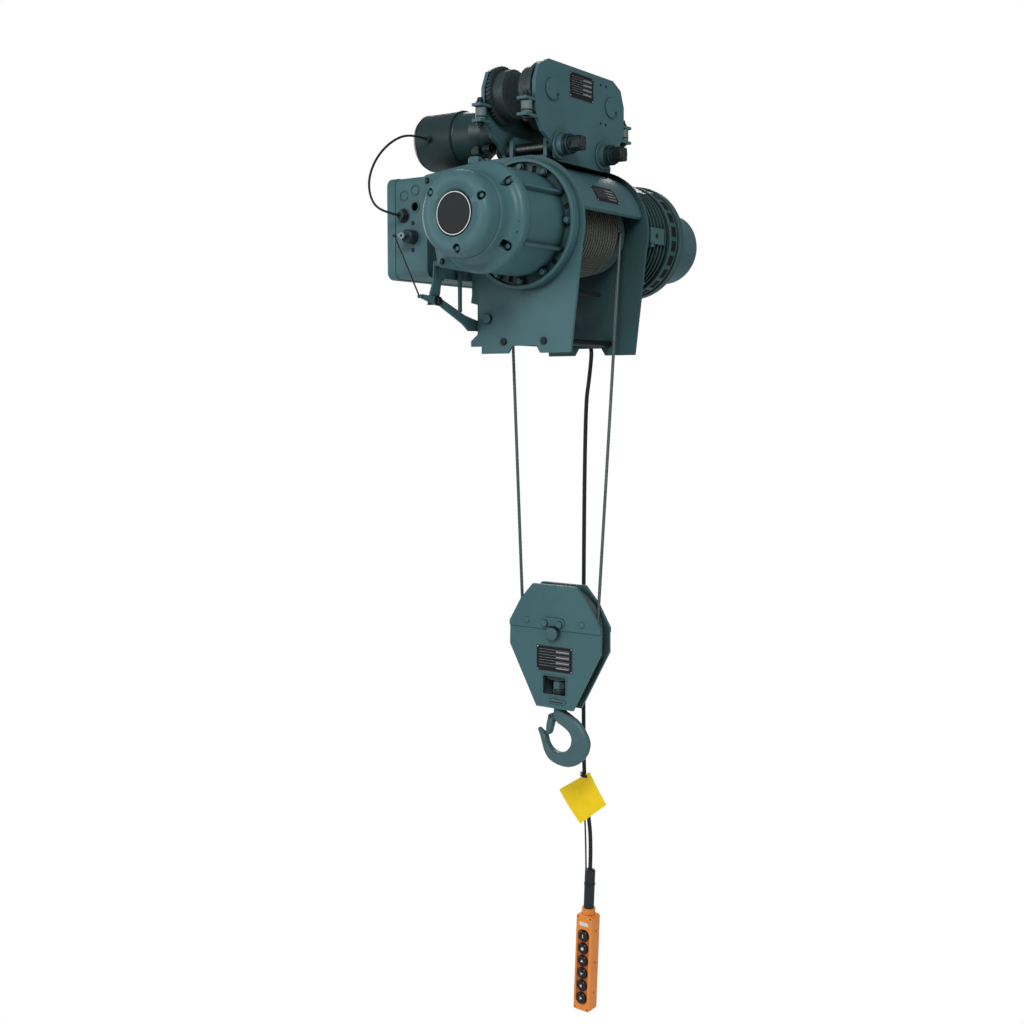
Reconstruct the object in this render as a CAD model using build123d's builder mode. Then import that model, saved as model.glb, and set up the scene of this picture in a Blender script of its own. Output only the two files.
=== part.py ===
from build123d import *
import os
from math import atan2, cos, degrees, hypot, pi, radians, sin, sqrt, tan

# Electric wire rope hoist on a powered monorail trolley. Millimetres.
# X runs along the beam and the drum, Y across them, Z up. The origin is the middle
# of the beam's underside, above the middle of the trolley.

os.makedirs("parts", exist_ok=True)

# ---------------------------------------------------------------- driving sizes
touch_gap = 0.3            # between solids that move past each other
running_fit = 0.05         # radial play of a shaft in its hole

# beam that the trolley runs on
beam_width = 125.0
beam_flange = 12.5

# trolley
trolley_half = 240.0
trolley_top = 165.0
trolley_foot = 114.0
trolley_thick = 12.0
trolley_inside = 83.0
tread_radius = 70.0
tread_width = 34.0
wheel_flange = 12.0
wheel_flange_height = 10.0
wheel_base = 320.0
axle_radius = 22.0
drive_gear_width = 10.0
shaft_spacing = 230.0
shaft_drop = 68.0
shaft_radius = 17.0
shaft_end = 175.0
shaft_far_end = 122.0
bolt_spacing_x = 30.0
bolt_spacing_z = 113.0
plate_bolt_radius = 4.5

# trolley drive
drive_motor_x = -80.0
drive_motor_z = -8.0
drive_motor_radius = 85.0
drive_motor_length = 150.0
drive_head_length = 127.0
drive_gearbox_depth = 40.0

# hoist frame
frame_drop = 92.0
frame_front = -150.0
frame_rear = 220.0
frame_thick = 9.0
frame_radius = 200.0
frame_reach = 371.0
frame_foot_half = 163.0
frame_foot_near = 156.0
bearing_radius = 45.0

# drum and rope
rope_dia = 10.0
drum_pitch_radius = 126.0
drum_wall = 9.0
rope_pitch = 13.5
rope_leaves_x = 172.0
hollow_shaft_radius = 30.0
drum_bore = 14.0
motor_shaft_radius = 10.0

# hoist gearbox
flange_radius = 186.0
flange_thick = 18.0
barrel_radius = 150.0
barrel_wall = 9.0
cover_radius = 155.0
cover_x = -350.0
boss_radius = 120.0
cap_x = -440.0
cap_radius = 118.0
cap_depth = 57.0
cover_bolt_circle = 123.0
gear_centres = 65.0
gear_width = 20.0
pinion_radius = 14.0
tooth_depth = 4.0

# hoist motor
motor_radius = 150.0
fin_radius = 172.0
fin_count = 8
fin_pitch = 26.0
fin_thick = 4.0
end_ring_radius = 182.0
end_ring_x = 452.0
end_ring_depth = 30.0
end_cover_radius = 117.0
end_cover_x = 706.0
rotor_radius = 82.0

# control box
box_front = -330.0
box_length = 430.0
box_gap = 25.0
box_depth = 120.0
box_cover_depth = 35.0
box_low = 151.0
box_high = 142.0
box_wall = 4.0
box_corner = 22.0

# upper limit switch and its linkage
switch_y = 278.0
switch_drop = 33.0
switch_radius = 20.0
lever_x = -378.0
lever_length = 22.0
rocker_y = 187.0
rocker_thick = 6.0
rocker_x = -330.0
rocker_drop = 221.0
rocker_short = 70.0
rocker_reach = 250.0

# hook block
block_x = 33.0
block_z = -1520.0
block_half = 28.0
block_plate = 8.0
sheave_radius = 137.0
sheave_rim = 14.0
sheave_half = 17.0
sheave_pin_radius = 17.5
shank_radius = 15.0
hook_bowl_radius = 46.0
hook_bowl_y = -3.0
hook_bowl_z = -1853.0
hook_half = 17.0
neck_drop = 243.0
hook_edge = 5.0

# pendant control
cable_dia = 13.0
pendant_x = 207.0
pendant_y = -2.0
pendant_top = -2475.0
pendant_tilt = 2.1
pendant_width = 62.0
shell_depth = 26.0
shell_wall = 3.5
button_radius = 17.5
button_pitch = 42.0
button_count = 6
first_button = 70.0
below_buttons = 45.0
button_travel = 4.0
sleeve_length = 130.0
collar_height = 20.0
motor_cable_dia = 7.0

# places that follow from the sizes above
axis_z = -(frame_drop + frame_radius)
frame_bottom = axis_z - frame_reach
frame_left = frame_radius + 3
box_inner_y = frame_radius + box_gap
box_bottom = axis_z - box_low
box_top = axis_z + box_high
switch_z = axis_z - switch_drop
rocker_z = axis_z - rocker_drop
pendant_length = first_button + (button_count - 1) * button_pitch + below_buttons


# ---------------------------------------------------------------- helpers
def facing_x(x):
    """Plane across the drum axis: local x is Y, local y is Z."""
    return Plane(origin=(x, 0, 0), x_dir=(0, 1, 0), z_dir=(1, 0, 0))


def facing_near(y):
    """Plane along the beam, facing -Y: local x is X, local y is Z."""
    return Plane(origin=(0, y, 0), x_dir=(1, 0, 0), z_dir=(0, -1, 0))


def save(piece, label):
    piece.part.label = label
    export_step(piece.part, f"parts/{label}.step")


def turning(outline, centre, along):
    """Face to revolve: outline holds (distance along the axis, radius) points."""
    across = {(1, 0, 0): (0, -1, 0), (0, 1, 0): (1, 0, 0), (0, 0, 1): (0, 1, 0)}[along]
    with BuildSketch(Plane(origin=centre, x_dir=along, z_dir=across)) as face:
        with BuildLine():
            Polyline(*outline, close=True)
        make_face()
    return face.sketch


def turned(outline, centre, along):
    with BuildPart() as piece:
        revolve(turning(outline, centre, along), axis=Axis(centre, along))
    return piece


def ring_outline(start, end, inner, outer, bevel):
    return [(start, inner), (end, inner), (end, outer - bevel), (end - bevel, outer),
            (start + bevel, outer), (start, outer - bevel)]


def teeth_points(tip, teeth, depth=tooth_depth):
    """Corners of a toothed wheel about the sketch's own origin."""
    points = []
    for tooth in range(teeth):
        for share, radius in ((0.0, tip - depth), (0.32, tip - depth), (0.44, tip), (0.88, tip)):
            turn = 2 * pi * (tooth + share) / teeth
            points.append((radius * cos(turn), radius * sin(turn)))
    return points


def bolt_circle(radius, count, first=0.0):
    return [(radius * cos(radians(first) + 2 * pi * k / count),
             radius * sin(radians(first) + 2 * pi * k / count)) for k in range(count)]


def bend_radii(points, name):
    """Arc at each corner: 0.45 of the shorter run over the tangent of half the turn."""
    radii = []
    for before, here, after in zip(points, points[1:], points[2:]):
        first = Vector(*here) - Vector(*before)
        second = Vector(*after) - Vector(*here)
        turn = first.get_angle(second)
        radii.append(0.45 * min(first.length, second.length) / tan(radians(turn) / 2))
    print(name, "bend radii", [round(radius) for radius in radii])
    return radii


def cord_tube(points, diameter, label):
    with BuildPart() as cord:
        with BuildLine() as route:
            FilletPolyline(*points, radius=bend_radii(points, label))
        start = Vector(*points[0])
        heading = Vector(*points[1]) - start
        with BuildSketch(Plane(origin=start, z_dir=heading)):
            Circle(diameter / 2)
        sweep(path=route.wires()[0])
    length = route.wires()[0].length
    print(label, "length", round(length), "volume share",
          round(cord.part.volume / (pi * diameter ** 2 / 4 * length), 4))
    save(cord, label)


# ---------------------------------------------------------------- trolley plates
plate_out = trolley_inside + trolley_thick
frame_inside = -(frame_front + frame_thick)
axle_z = beam_flange + tread_radius
wheel_xs = (-wheel_base / 2, wheel_base / 2)
shaft_xs = (-shaft_spacing / 2, shaft_spacing / 2)
foot_half = frame_inside - 2.5
plate_side = [(foot_half - 16, -trolley_foot), (foot_half - 5, -trolley_foot + 10), (foot_half, -82),
              (foot_half + 28, -58), (trolley_half - 38, -40), (trolley_half, 10),
              (trolley_half, trolley_top - 70), (trolley_half - 20, trolley_top - 22),
              (trolley_half - 65, trolley_top)]
plate_corners = plate_side + [(-x, z) for x, z in reversed(plate_side)]
bolt_x = 120.0
bolt_mid_z = 84.0
buffer_x = trolley_half + 22
buffer_y = beam_width / 2 + 17.5
buffer_radius = 16.0
buffer_height = 36.0
drive_shaft_radius = 14.0
lug_thick = 8.0

for side, label in ((-1, "trolley_plate_near"), (1, "trolley_plate_far")):
    outer_plane = facing_near(side * plate_out if side > 0 else -trolley_inside)
    with BuildPart() as plate:
        with BuildSketch(outer_plane):
            with BuildLine():
                Polyline(*plate_corners, close=True)
            make_face()
            with Locations(*[(x, -shaft_drop) for x in shaft_xs]):
                Circle(shaft_radius + running_fit, mode=Mode.SUBTRACT)
            with Locations((bolt_x, bolt_mid_z)):
                with GridLocations(bolt_spacing_x, bolt_spacing_z, 2, 2):
                    Circle(plate_bolt_radius, mode=Mode.SUBTRACT)
            if side > 0:
                with Locations((0, axle_z)):
                    Circle(drive_shaft_radius + 6, mode=Mode.SUBTRACT)
        extrude(amount=trolley_thick)
        # stub axles for the two wheels
        for x in wheel_xs:
            with BuildSketch(facing_near(side * (trolley_inside + 1))):
                with Locations((x, axle_z)):
                    Circle(axle_radius)
            extrude(amount=side * (trolley_inside + 1 - beam_width / 2 + tread_width - 4))
        # lugs that carry the side buffers at both ends
        for end in (-1, 1):
            for z in (-lug_thick - touch_gap, buffer_height + touch_gap):
                with Locations((end * (trolley_half + 21.5), side * (plate_out - 16), z + lug_thick / 2)):
                    Box(49, 32, lug_thick)
                with Locations((end * (trolley_half - 4), side * (plate_out - trolley_thick / 2),
                                z + lug_thick / 2)):
                    Box(12, trolley_thick, lug_thick)
    save(plate, label)

with BuildPart() as buffers:
    for x in (-buffer_x, buffer_x):
        for y in (-buffer_y, buffer_y):
            with Locations((x, y, buffer_height / 2)):
                Cylinder(buffer_radius, buffer_height)
    chamfer(buffers.edges().filter_by(GeomType.CIRCLE), 2)
save(buffers, "side_buffers")

# ---------------------------------------------------------------- wheels and drive gear
tread_inner = beam_width / 2 - tread_width
tread_outer = beam_width / 2 + 1.5
flange_outer = tread_outer + wheel_flange
wheel_gear_radius = tread_radius + wheel_flange_height + 4
drive_gear_radius = wheel_base / 2 - wheel_gear_radius - touch_gap
for side, side_name in ((-1, "near"), (1, "far")):
    for x, end_name in zip(wheel_xs, ("front", "rear")):
        bore = axle_radius + running_fit
        outline = [(side * (tread_inner - 3), 0), (side * (tread_inner - 3), tread_radius - 12),
                   (side * tread_inner, tread_radius), (side * tread_outer, tread_radius),
                   (side * tread_outer, tread_radius + wheel_flange_height),
                   (side * flange_outer, tread_radius + wheel_flange_height),
                   (side * flange_outer, bore + 14), (side * (trolley_inside - 4), bore + 10),
                   (side * (trolley_inside - 4), bore), (side * (tread_inner + 3.5), bore),
                   (side * (tread_inner + 3.5), 0)]
        with BuildPart() as wheel:
            revolve(turning(outline, (x, 0, axle_z), (0, 1, 0)), axis=Axis((x, 0, axle_z), (0, 1, 0)))
            if side > 0:
                with BuildSketch(Plane(origin=(x, flange_outer, axle_z), x_dir=(1, 0, 0),
                                       z_dir=(0, -1, 0))):
                    with BuildLine():
                        Polyline(*teeth_points(wheel_gear_radius, 42, 5), close=True)
                    make_face()
                    Circle(tread_radius - 5, mode=Mode.SUBTRACT)
                extrude(amount=drive_gear_width)
        save(wheel, f"wheel_{side_name}_{end_name}")

gear_end = flange_outer
gearbox_out = plate_out + drive_gearbox_depth
with BuildPart() as drive_gear:
    with BuildSketch(Plane(origin=(0, gear_end, axle_z), x_dir=(1, 0, 0), z_dir=(0, -1, 0))):
        with BuildLine():
            Polyline(*teeth_points(drive_gear_radius, 38, 5), close=True)
        make_face()
    extrude(amount=drive_gear_width)
    with BuildSketch(facing_near(gear_end - 1)):
        with Locations((0, axle_z)):
            Circle(drive_shaft_radius)
    extrude(amount=-(gearbox_out - 10 - gear_end))
save(drive_gear, "drive_gear")

# ---------------------------------------------------------------- trolley gearbox and motor
gearbox_small = 42.0
gearbox_big = 41.0
gearbox_wall = 7.0
with BuildPart() as trolley_gearbox:
    with BuildSketch(facing_near(gearbox_out)):
        with BuildLine():
            Polyline((drive_motor_x, drive_motor_z), (0, axle_z))
        with Locations((drive_motor_x, drive_motor_z)):
            Circle(gearbox_big)
        with Locations((0, axle_z)):
            Circle(gearbox_small)
        make_hull()
    extrude(amount=drive_gearbox_depth)
    fillet(trolley_gearbox.faces().sort_by(Axis.Y)[-1].edges(), 5)
    with BuildSketch(facing_near(gearbox_out - gearbox_wall)):
        with Locations((0, axle_z)):
            Circle(gearbox_small - gearbox_wall)
    extrude(amount=drive_gearbox_depth, mode=Mode.SUBTRACT)
    with BuildSketch(facing_near(plate_out + 12)):
        with Locations((0, axle_z)):
            Circle(gearbox_small)
            Circle(drive_shaft_radius + running_fit, mode=Mode.SUBTRACT)
    extrude(amount=12)
save(trolley_gearbox, "trolley_gearbox")

head_start = gearbox_out
head_end = head_start + 8 + drive_head_length
motor_end = head_end + drive_motor_length
terminal_y = 350.0
terminal_reach = 14.0
motor_outline = [(head_start, 0), (head_start, 56), (head_start + 8, 56), (head_start + 8, 50),
                 (head_start + 45, 56), (head_start + 75, 74), (head_end - 6, 79),
                 (head_end - 3, drive_motor_radius - 4), (head_end, drive_motor_radius - 4),
                 (head_end, drive_motor_radius), (motor_end - 14, drive_motor_radius),
                 (motor_end - 4, drive_motor_radius - 6), (motor_end, drive_motor_radius - 20),
                 (motor_end, 0)]
motor_centre = (drive_motor_x, 0, drive_motor_z)
with BuildPart() as drive_motor:
    revolve(turning(motor_outline, motor_centre, (0, 1, 0)), axis=Axis(motor_centre, (0, 1, 0)))
    with Locations((drive_motor_x - 40, head_start + 62, drive_motor_z + 48),
                   (drive_motor_x - 40, head_start + 62, drive_motor_z - 48)):
        Box(34, 26, 22)
    with BuildSketch(facing_x(drive_motor_x - drive_motor_radius - terminal_reach)):
        with Locations((terminal_y, drive_motor_z - 5)):
            Circle(10)
    extrude(amount=terminal_reach + 12)
save(drive_motor, "trolley_motor")

# ---------------------------------------------------------------- suspension shafts
lug_mid = 60.0
lug_half = 6.0
spacer_radius = 25.0
with BuildPart() as shafts:
    for x in shaft_xs:
        with BuildSketch(facing_near(shaft_far_end)):
            with Locations((x, -shaft_drop)):
                Circle(shaft_radius)
        extrude(amount=shaft_far_end + shaft_end - 27)
        with Locations((x, -shaft_end + 13.5, -shaft_drop)):
            Box(25, 27, 25)
save(shafts, "suspension_shafts")

sleeve_bore = shaft_radius + running_fit
with BuildPart() as collars:
    for x in shaft_xs:
        for start, depth, radius in ((-plate_out, 4, 38), (-plate_out - 4, 20, 30),
                                     (-plate_out - 30, 3, 27),
                                     (-lug_mid - lug_half, plate_out - trolley_thick - lug_mid - lug_half,
                                      spacer_radius),
                                     (trolley_inside, trolley_inside - lug_mid - lug_half, spacer_radius)):
            with BuildSketch(facing_near(start)):
                with Locations((x, -shaft_drop)):
                    Circle(radius)
                    Circle(sleeve_bore, mode=Mode.SUBTRACT)
            extrude(amount=depth)
        for start, depth in ((-plate_out - 24, 6), (-plate_out - 33, 14), (plate_out + 16, 16)):
            with BuildSketch(facing_near(start)):
                with Locations((x, -shaft_drop)):
                    RegularPolygon(24, 6, major_radius=False)
                    Circle(sleeve_bore, mode=Mode.SUBTRACT)
            extrude(amount=depth)
save(collars, "shaft_collars")

# ---------------------------------------------------------------- hanger between trolley and frame
frame_in_front = frame_front + frame_thick
frame_in_rear = frame_rear - frame_thick
frame_mid = (frame_front + frame_rear) / 2
frame_gap = frame_in_rear - frame_in_front
frame_top = axis_z + frame_radius
hanger_base = 10.0
with BuildPart() as hanger:
    with Locations((frame_mid, 0, frame_top - hanger_base / 2 - 2)):
        Box(frame_gap, 2 * lug_mid + 10, hanger_base)
    for y in (-lug_mid, lug_mid):
        with BuildSketch(facing_near(y + lug_half)):
            with BuildLine():
                Polyline((frame_in_front, frame_top - 4), (frame_in_rear, frame_top - 4),
                         (frame_in_rear, frame_top + 6), (shaft_spacing / 2 + 38, -shaft_drop + 26),
                         (shaft_spacing / 2 + 14, -shaft_drop + 36), (-shaft_spacing / 2 - 14, -shaft_drop + 36),
                         (frame_in_front, -shaft_drop + 22), close=True)
            make_face()
            with Locations(*[(x, -shaft_drop) for x in shaft_xs]):
                Circle(shaft_radius + running_fit, mode=Mode.SUBTRACT)
        extrude(amount=2 * lug_half)
save(hanger, "hanger_bracket")

# ---------------------------------------------------------------- frame plates
foot_height = 22.0
notch_half = 58.0
notch_mid = 8.0
notch_radius = 20.0
slot_depth = 25.0
slot_low = rocker_z - 91
slot_high = rocker_z - 3
tie_radius = 10.0
foot_ties = [(80, frame_bottom + 35), (-64, frame_bottom + 35)]
upper_tie = (118, axis_z - 106)
anchor_y = sheave_radius
anchor_z = axis_z - 268
anchor_pin_radius = 13.0
for x, label in ((frame_front, "frame_plate_front"), (frame_in_rear, "frame_plate_rear")):
    with BuildPart() as plate:
        with BuildSketch(facing_x(x)):
            with Locations((0, axis_z)):
                Circle(frame_radius)
            with BuildLine():
                Polyline((140, frame_top), (-20, frame_top), (-frame_radius, axis_z + 10),
                         (-frame_radius, axis_z), (-frame_foot_near, frame_bottom),
                         (notch_mid - notch_half, frame_bottom),
                         (notch_mid - notch_half + 14, frame_bottom + foot_height),
                         (notch_mid + notch_half - 14, frame_bottom + foot_height),
                         (notch_mid + notch_half, frame_bottom), (frame_foot_half, frame_bottom),
                         (frame_foot_half, frame_bottom + foot_height),
                         (frame_left, frame_bottom + foot_height), (frame_left, slot_low - 20),
                         (frame_left - slot_depth, slot_low), (frame_left - slot_depth, slot_high),
                         (frame_left, slot_high + 6), (frame_left - 4, slot_high + 30),
                         (frame_radius, axis_z - 40), (frame_radius, axis_z), (frame_radius - 8, axis_z + 90),
                         close=True)
            make_face()
            with Locations((0, axis_z)):
                Circle(bearing_radius, mode=Mode.SUBTRACT)
            with Locations(*foot_ties, upper_tie):
                Circle(tie_radius + running_fit, mode=Mode.SUBTRACT)
            with Locations((anchor_y, anchor_z)):
                Circle(anchor_pin_radius + running_fit, mode=Mode.SUBTRACT)
        extrude(amount=frame_thick)
    save(plate, label)

cover_thick = 4.0
cover_arc_radius = frame_radius - 14
cover_edge_turn = 14.0
edge = radians(cover_edge_turn)
lip = 10.0
cos_e, sin_e = cos(edge), sin(edge)
inner_arc = cover_arc_radius - cover_thick
with BuildPart() as top_cover:
    with BuildSketch(facing_x(frame_in_front)):
        with BuildLine():
            ThreePointArc((cover_arc_radius * cos_e, axis_z + cover_arc_radius * sin_e),
                          (0, axis_z + cover_arc_radius),
                          (-cover_arc_radius * cos_e, axis_z + cover_arc_radius * sin_e))
            Polyline((-cover_arc_radius * cos_e, axis_z + cover_arc_radius * sin_e),
                     (-cover_arc_radius * cos_e + lip, axis_z + cover_arc_radius * sin_e - 6),
                     (-cover_arc_radius * cos_e + lip + 1, axis_z + cover_arc_radius * sin_e - 2),
                     (-inner_arc * cos_e, axis_z + inner_arc * sin_e + 1))
            ThreePointArc((-inner_arc * cos_e, axis_z + inner_arc * sin_e + 1),
                          (0, axis_z + inner_arc),
                          (inner_arc * cos_e, axis_z + inner_arc * sin_e + 1))
            Line((inner_arc * cos_e, axis_z + inner_arc * sin_e + 1),
                 (cover_arc_radius * cos_e, axis_z + cover_arc_radius * sin_e))
        make_face()
    extrude(amount=frame_gap)
save(top_cover, "top_cover")

guard_stub = (-90, axis_z - 191)
guard_stub_length = 250.0
with BuildPart() as tie_rods:
    with BuildSketch(facing_x(frame_front - 6)):
        with Locations(*foot_ties):
            Circle(tie_radius)
    extrude(amount=frame_gap + 2 * frame_thick + 12)
    # this one ends flush, under the gearbox and motor flanges
    with BuildSketch(facing_x(frame_front + touch_gap)):
        with Locations(upper_tie):
            Circle(tie_radius)
    extrude(amount=frame_gap + 2 * frame_thick - 2 * touch_gap)
    # rope guard stub on the front plate
    with BuildSketch(facing_x(frame_in_front + touch_gap)):
        with Locations(guard_stub):
            Circle(7)
    extrude(amount=guard_stub_length)
save(tie_rods, "tie_rods")

anchor_x = -25.0
socket_low = anchor_z - 52
with BuildPart() as anchor:
    with BuildSketch(facing_x(frame_front - 6)):
        with Locations((anchor_y, anchor_z)):
            Circle(anchor_pin_radius)
    extrude(amount=frame_gap + 2 * frame_thick + 12)
    with BuildSketch(facing_x(anchor_x - 17)):
        with BuildLine():
            Polyline((anchor_y - 24, anchor_z + 18), (anchor_y + 20, anchor_z + 18), (anchor_y + 20, anchor_z - 20),
                     (anchor_y + 10, socket_low), (anchor_y - 10, socket_low),
                     (anchor_y - 24, anchor_z - 20), close=True)
        make_face()
    extrude(amount=34)
save(anchor, "rope_anchor")

# ---------------------------------------------------------------- drum, rope and shafts
rope_radius = rope_dia / 2
drum_radius = drum_pitch_radius - rope_radius
drum_front = frame_in_front + 6
drum_rear = frame_in_rear - 5
first_plane = cover_x - 24
second_plane = first_plane + gear_width + 5
third_plane = second_plane + gear_width + 5
gear_radius = gear_centres - pinion_radius - touch_gap
gear_teeth = 50
pinion_teeth = 13
drum_outline = [(third_plane - 2, drum_bore), (third_plane - 2, hollow_shaft_radius - 6),
                (third_plane + gear_width + 16, hollow_shaft_radius - 6),
                (third_plane + gear_width + 16, hollow_shaft_radius), (drum_front, hollow_shaft_radius),
                (drum_front, drum_radius + 16), (drum_front + 6, drum_radius + 16),
                (drum_front + 6, drum_radius), (drum_rear, drum_radius),
                (drum_rear, hollow_shaft_radius), (frame_rear + 14, hollow_shaft_radius),
                (frame_rear + 14, drum_bore), (drum_rear - drum_wall, drum_bore),
                (drum_rear - drum_wall, drum_radius - drum_wall),
                (drum_front + drum_wall, drum_radius - drum_wall), (drum_front + drum_wall, drum_bore)]
with BuildPart() as drum:
    revolve(turning(drum_outline, (0, 0, axis_z), (1, 0, 0)), axis=Axis((0, 0, axis_z), (1, 0, 0)))
    with BuildSketch(Plane(origin=(third_plane, 0, axis_z), x_dir=(0, 1, 0), z_dir=(1, 0, 0))):
        with BuildLine():
            Polyline(*teeth_points(gear_radius, gear_teeth, 3), close=True)
        make_face()
        Circle(drum_bore + 4, mode=Mode.SUBTRACT)
    extrude(amount=gear_width)
save(drum, "drum")

wound_end = rope_leaves_x - rope_pitch / 2 - 1
wound_turns = int((wound_end - drum_front - 6) / rope_pitch)
wound_start = wound_end - wound_turns * rope_pitch
wound_outline = [(wound_start, drum_radius)]
for turn in range(wound_turns):
    left = wound_start + turn * rope_pitch
    wound_outline += [(left, drum_radius + 3), (left + rope_pitch * 0.25, drum_radius + rope_dia - 1.5),
                      (left + rope_pitch * 0.5, drum_radius + rope_dia),
                      (left + rope_pitch * 0.75, drum_radius + rope_dia - 1.5)]
wound_outline += [(wound_end, drum_radius + 3), (wound_end, drum_radius)]
save(turned(wound_outline, (0, 0, axis_z), (1, 0, 0)), "wound_rope")

with BuildPart() as bearings:
    for x in (frame_front, frame_in_rear):
        with BuildSketch(facing_x(x)):
            with Locations((0, axis_z)):
                Circle(bearing_radius)
                Circle(hollow_shaft_radius + running_fit, mode=Mode.SUBTRACT)
        extrude(amount=frame_thick)
save(bearings, "drum_bearings")

layshaft_radius = 8.0
layshaft_start = cover_x - 70
web_x = third_plane + 34
web_thick = 9.0
first_shaft = (0.0, gear_centres)
second_shaft = (gear_centres * cos(radians(30)), gear_centres * sin(radians(30)))

rotor_start = frame_rear + 50
rotor_end = rotor_start + 130
brake_x = end_ring_x + 70
with BuildPart() as rotor:
    revolve(turning([(first_plane - 12, 0), (first_plane - 12, motor_shaft_radius),
                     (rotor_start - 10, motor_shaft_radius), (rotor_start - 10, 24), (rotor_start, 24),
                     (rotor_start, rotor_radius), (rotor_end, rotor_radius), (rotor_end, 24),
                     (rotor_end + 10, 24), (rotor_end + 10, motor_shaft_radius),
                     (brake_x, motor_shaft_radius), (brake_x, 78), (brake_x + 12, 78),
                     (brake_x + 12, motor_shaft_radius), (brake_x + 50, motor_shaft_radius),
                     (brake_x + 50, 0)], (0, 0, axis_z), (1, 0, 0)), axis=Axis((0, 0, axis_z), (1, 0, 0)))
    with BuildSketch(Plane(origin=(first_plane, 0, axis_z), x_dir=(0, 1, 0), z_dir=(1, 0, 0))):
        with BuildLine():
            Polyline(*teeth_points(pinion_radius, pinion_teeth, 3), close=True)
        make_face()
    extrude(amount=gear_width)
save(rotor, "motor_rotor")

for label, place, gear_plane in (("layshaft_first", first_shaft, first_plane),
                                 ("layshaft_second", second_shaft, second_plane)):
    centre = (0, place[0], axis_z + place[1])
    with BuildPart() as layshaft:
        revolve(turning([(layshaft_start, 0), (layshaft_start, layshaft_radius),
                         (web_x + web_thick, layshaft_radius), (web_x + web_thick, 0)],
                        centre, (1, 0, 0)), axis=Axis(centre, (1, 0, 0)))
        for start, tip, teeth in ((gear_plane, gear_radius, gear_teeth),
                                  (gear_plane + gear_width + 5, pinion_radius, pinion_teeth)):
            with BuildSketch(Plane(origin=(start, centre[1], centre[2]), x_dir=(0, 1, 0), z_dir=(1, 0, 0))):
                with BuildLine():
                    Polyline(*teeth_points(tip, teeth, 3), close=True)
                make_face()
            extrude(amount=gear_width)
    save(layshaft, label)

# ---------------------------------------------------------------- hoist gearbox
flange_x = frame_front - flange_thick
rib_turns = (30, 150, 210, 330)
ear_radius = 17.0
ears = [(195, 118), (141, -114)]
flange_bolts = [place for place in bolt_circle(flange_radius - 17, 12)
                if round(degrees(atan2(place[1], place[0]))) % 360 not in rib_turns]
with BuildPart() as housing:
    with BuildSketch(facing_x(flange_x)):
        with Locations((0, axis_z)):
            Circle(flange_radius)
            Circle(barrel_radius - barrel_wall, mode=Mode.SUBTRACT)
    extrude(amount=flange_thick)
    with BuildSketch(facing_x(cover_x)):
        with Locations((0, axis_z)):
            Circle(barrel_radius)
            Circle(barrel_radius - barrel_wall, mode=Mode.SUBTRACT)
    extrude(amount=flange_x - cover_x)
    # joint flange against the cover
    with BuildSketch(facing_x(cover_x)):
        with BuildLine():
            Polyline((0, axis_z), (ears[0][0], axis_z + ears[0][1]))
            Polyline((0, axis_z), (ears[1][0], axis_z + ears[1][1]))
        with Locations((0, axis_z)):
            Circle(barrel_radius)
        with Locations(*[(y, axis_z + z) for y, z in ears]):
            Circle(ear_radius)
        make_hull()
        with Locations((0, axis_z)):
            Circle(barrel_radius - barrel_wall, mode=Mode.SUBTRACT)
    extrude(amount=14)
    # stiffening ribs between the two flanges
    for rib_turn in rib_turns:
        turn = radians(rib_turn)
        reach = barrel_radius + 12
        with Locations(Location((cover_x + (flange_x - cover_x) / 2, reach * cos(turn) - 16 * cos(turn),
                                 axis_z + (reach - 16) * sin(turn)), (rib_turn, 0, 0))):
            Box(flange_x - cover_x, 34, 9)
    # inner web that carries the layshafts and the drum's hollow shaft
    with BuildSketch(facing_x(web_x)):
        with Locations((0, axis_z)):
            Circle(barrel_radius - barrel_wall)
            Circle(hollow_shaft_radius + 1, mode=Mode.SUBTRACT)
        with Locations(*[(y, axis_z + z) for y, z in (first_shaft, second_shaft)]):
            Circle(layshaft_radius + running_fit, mode=Mode.SUBTRACT)
    extrude(amount=web_thick)
save(housing, "gearbox_housing")

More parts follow.
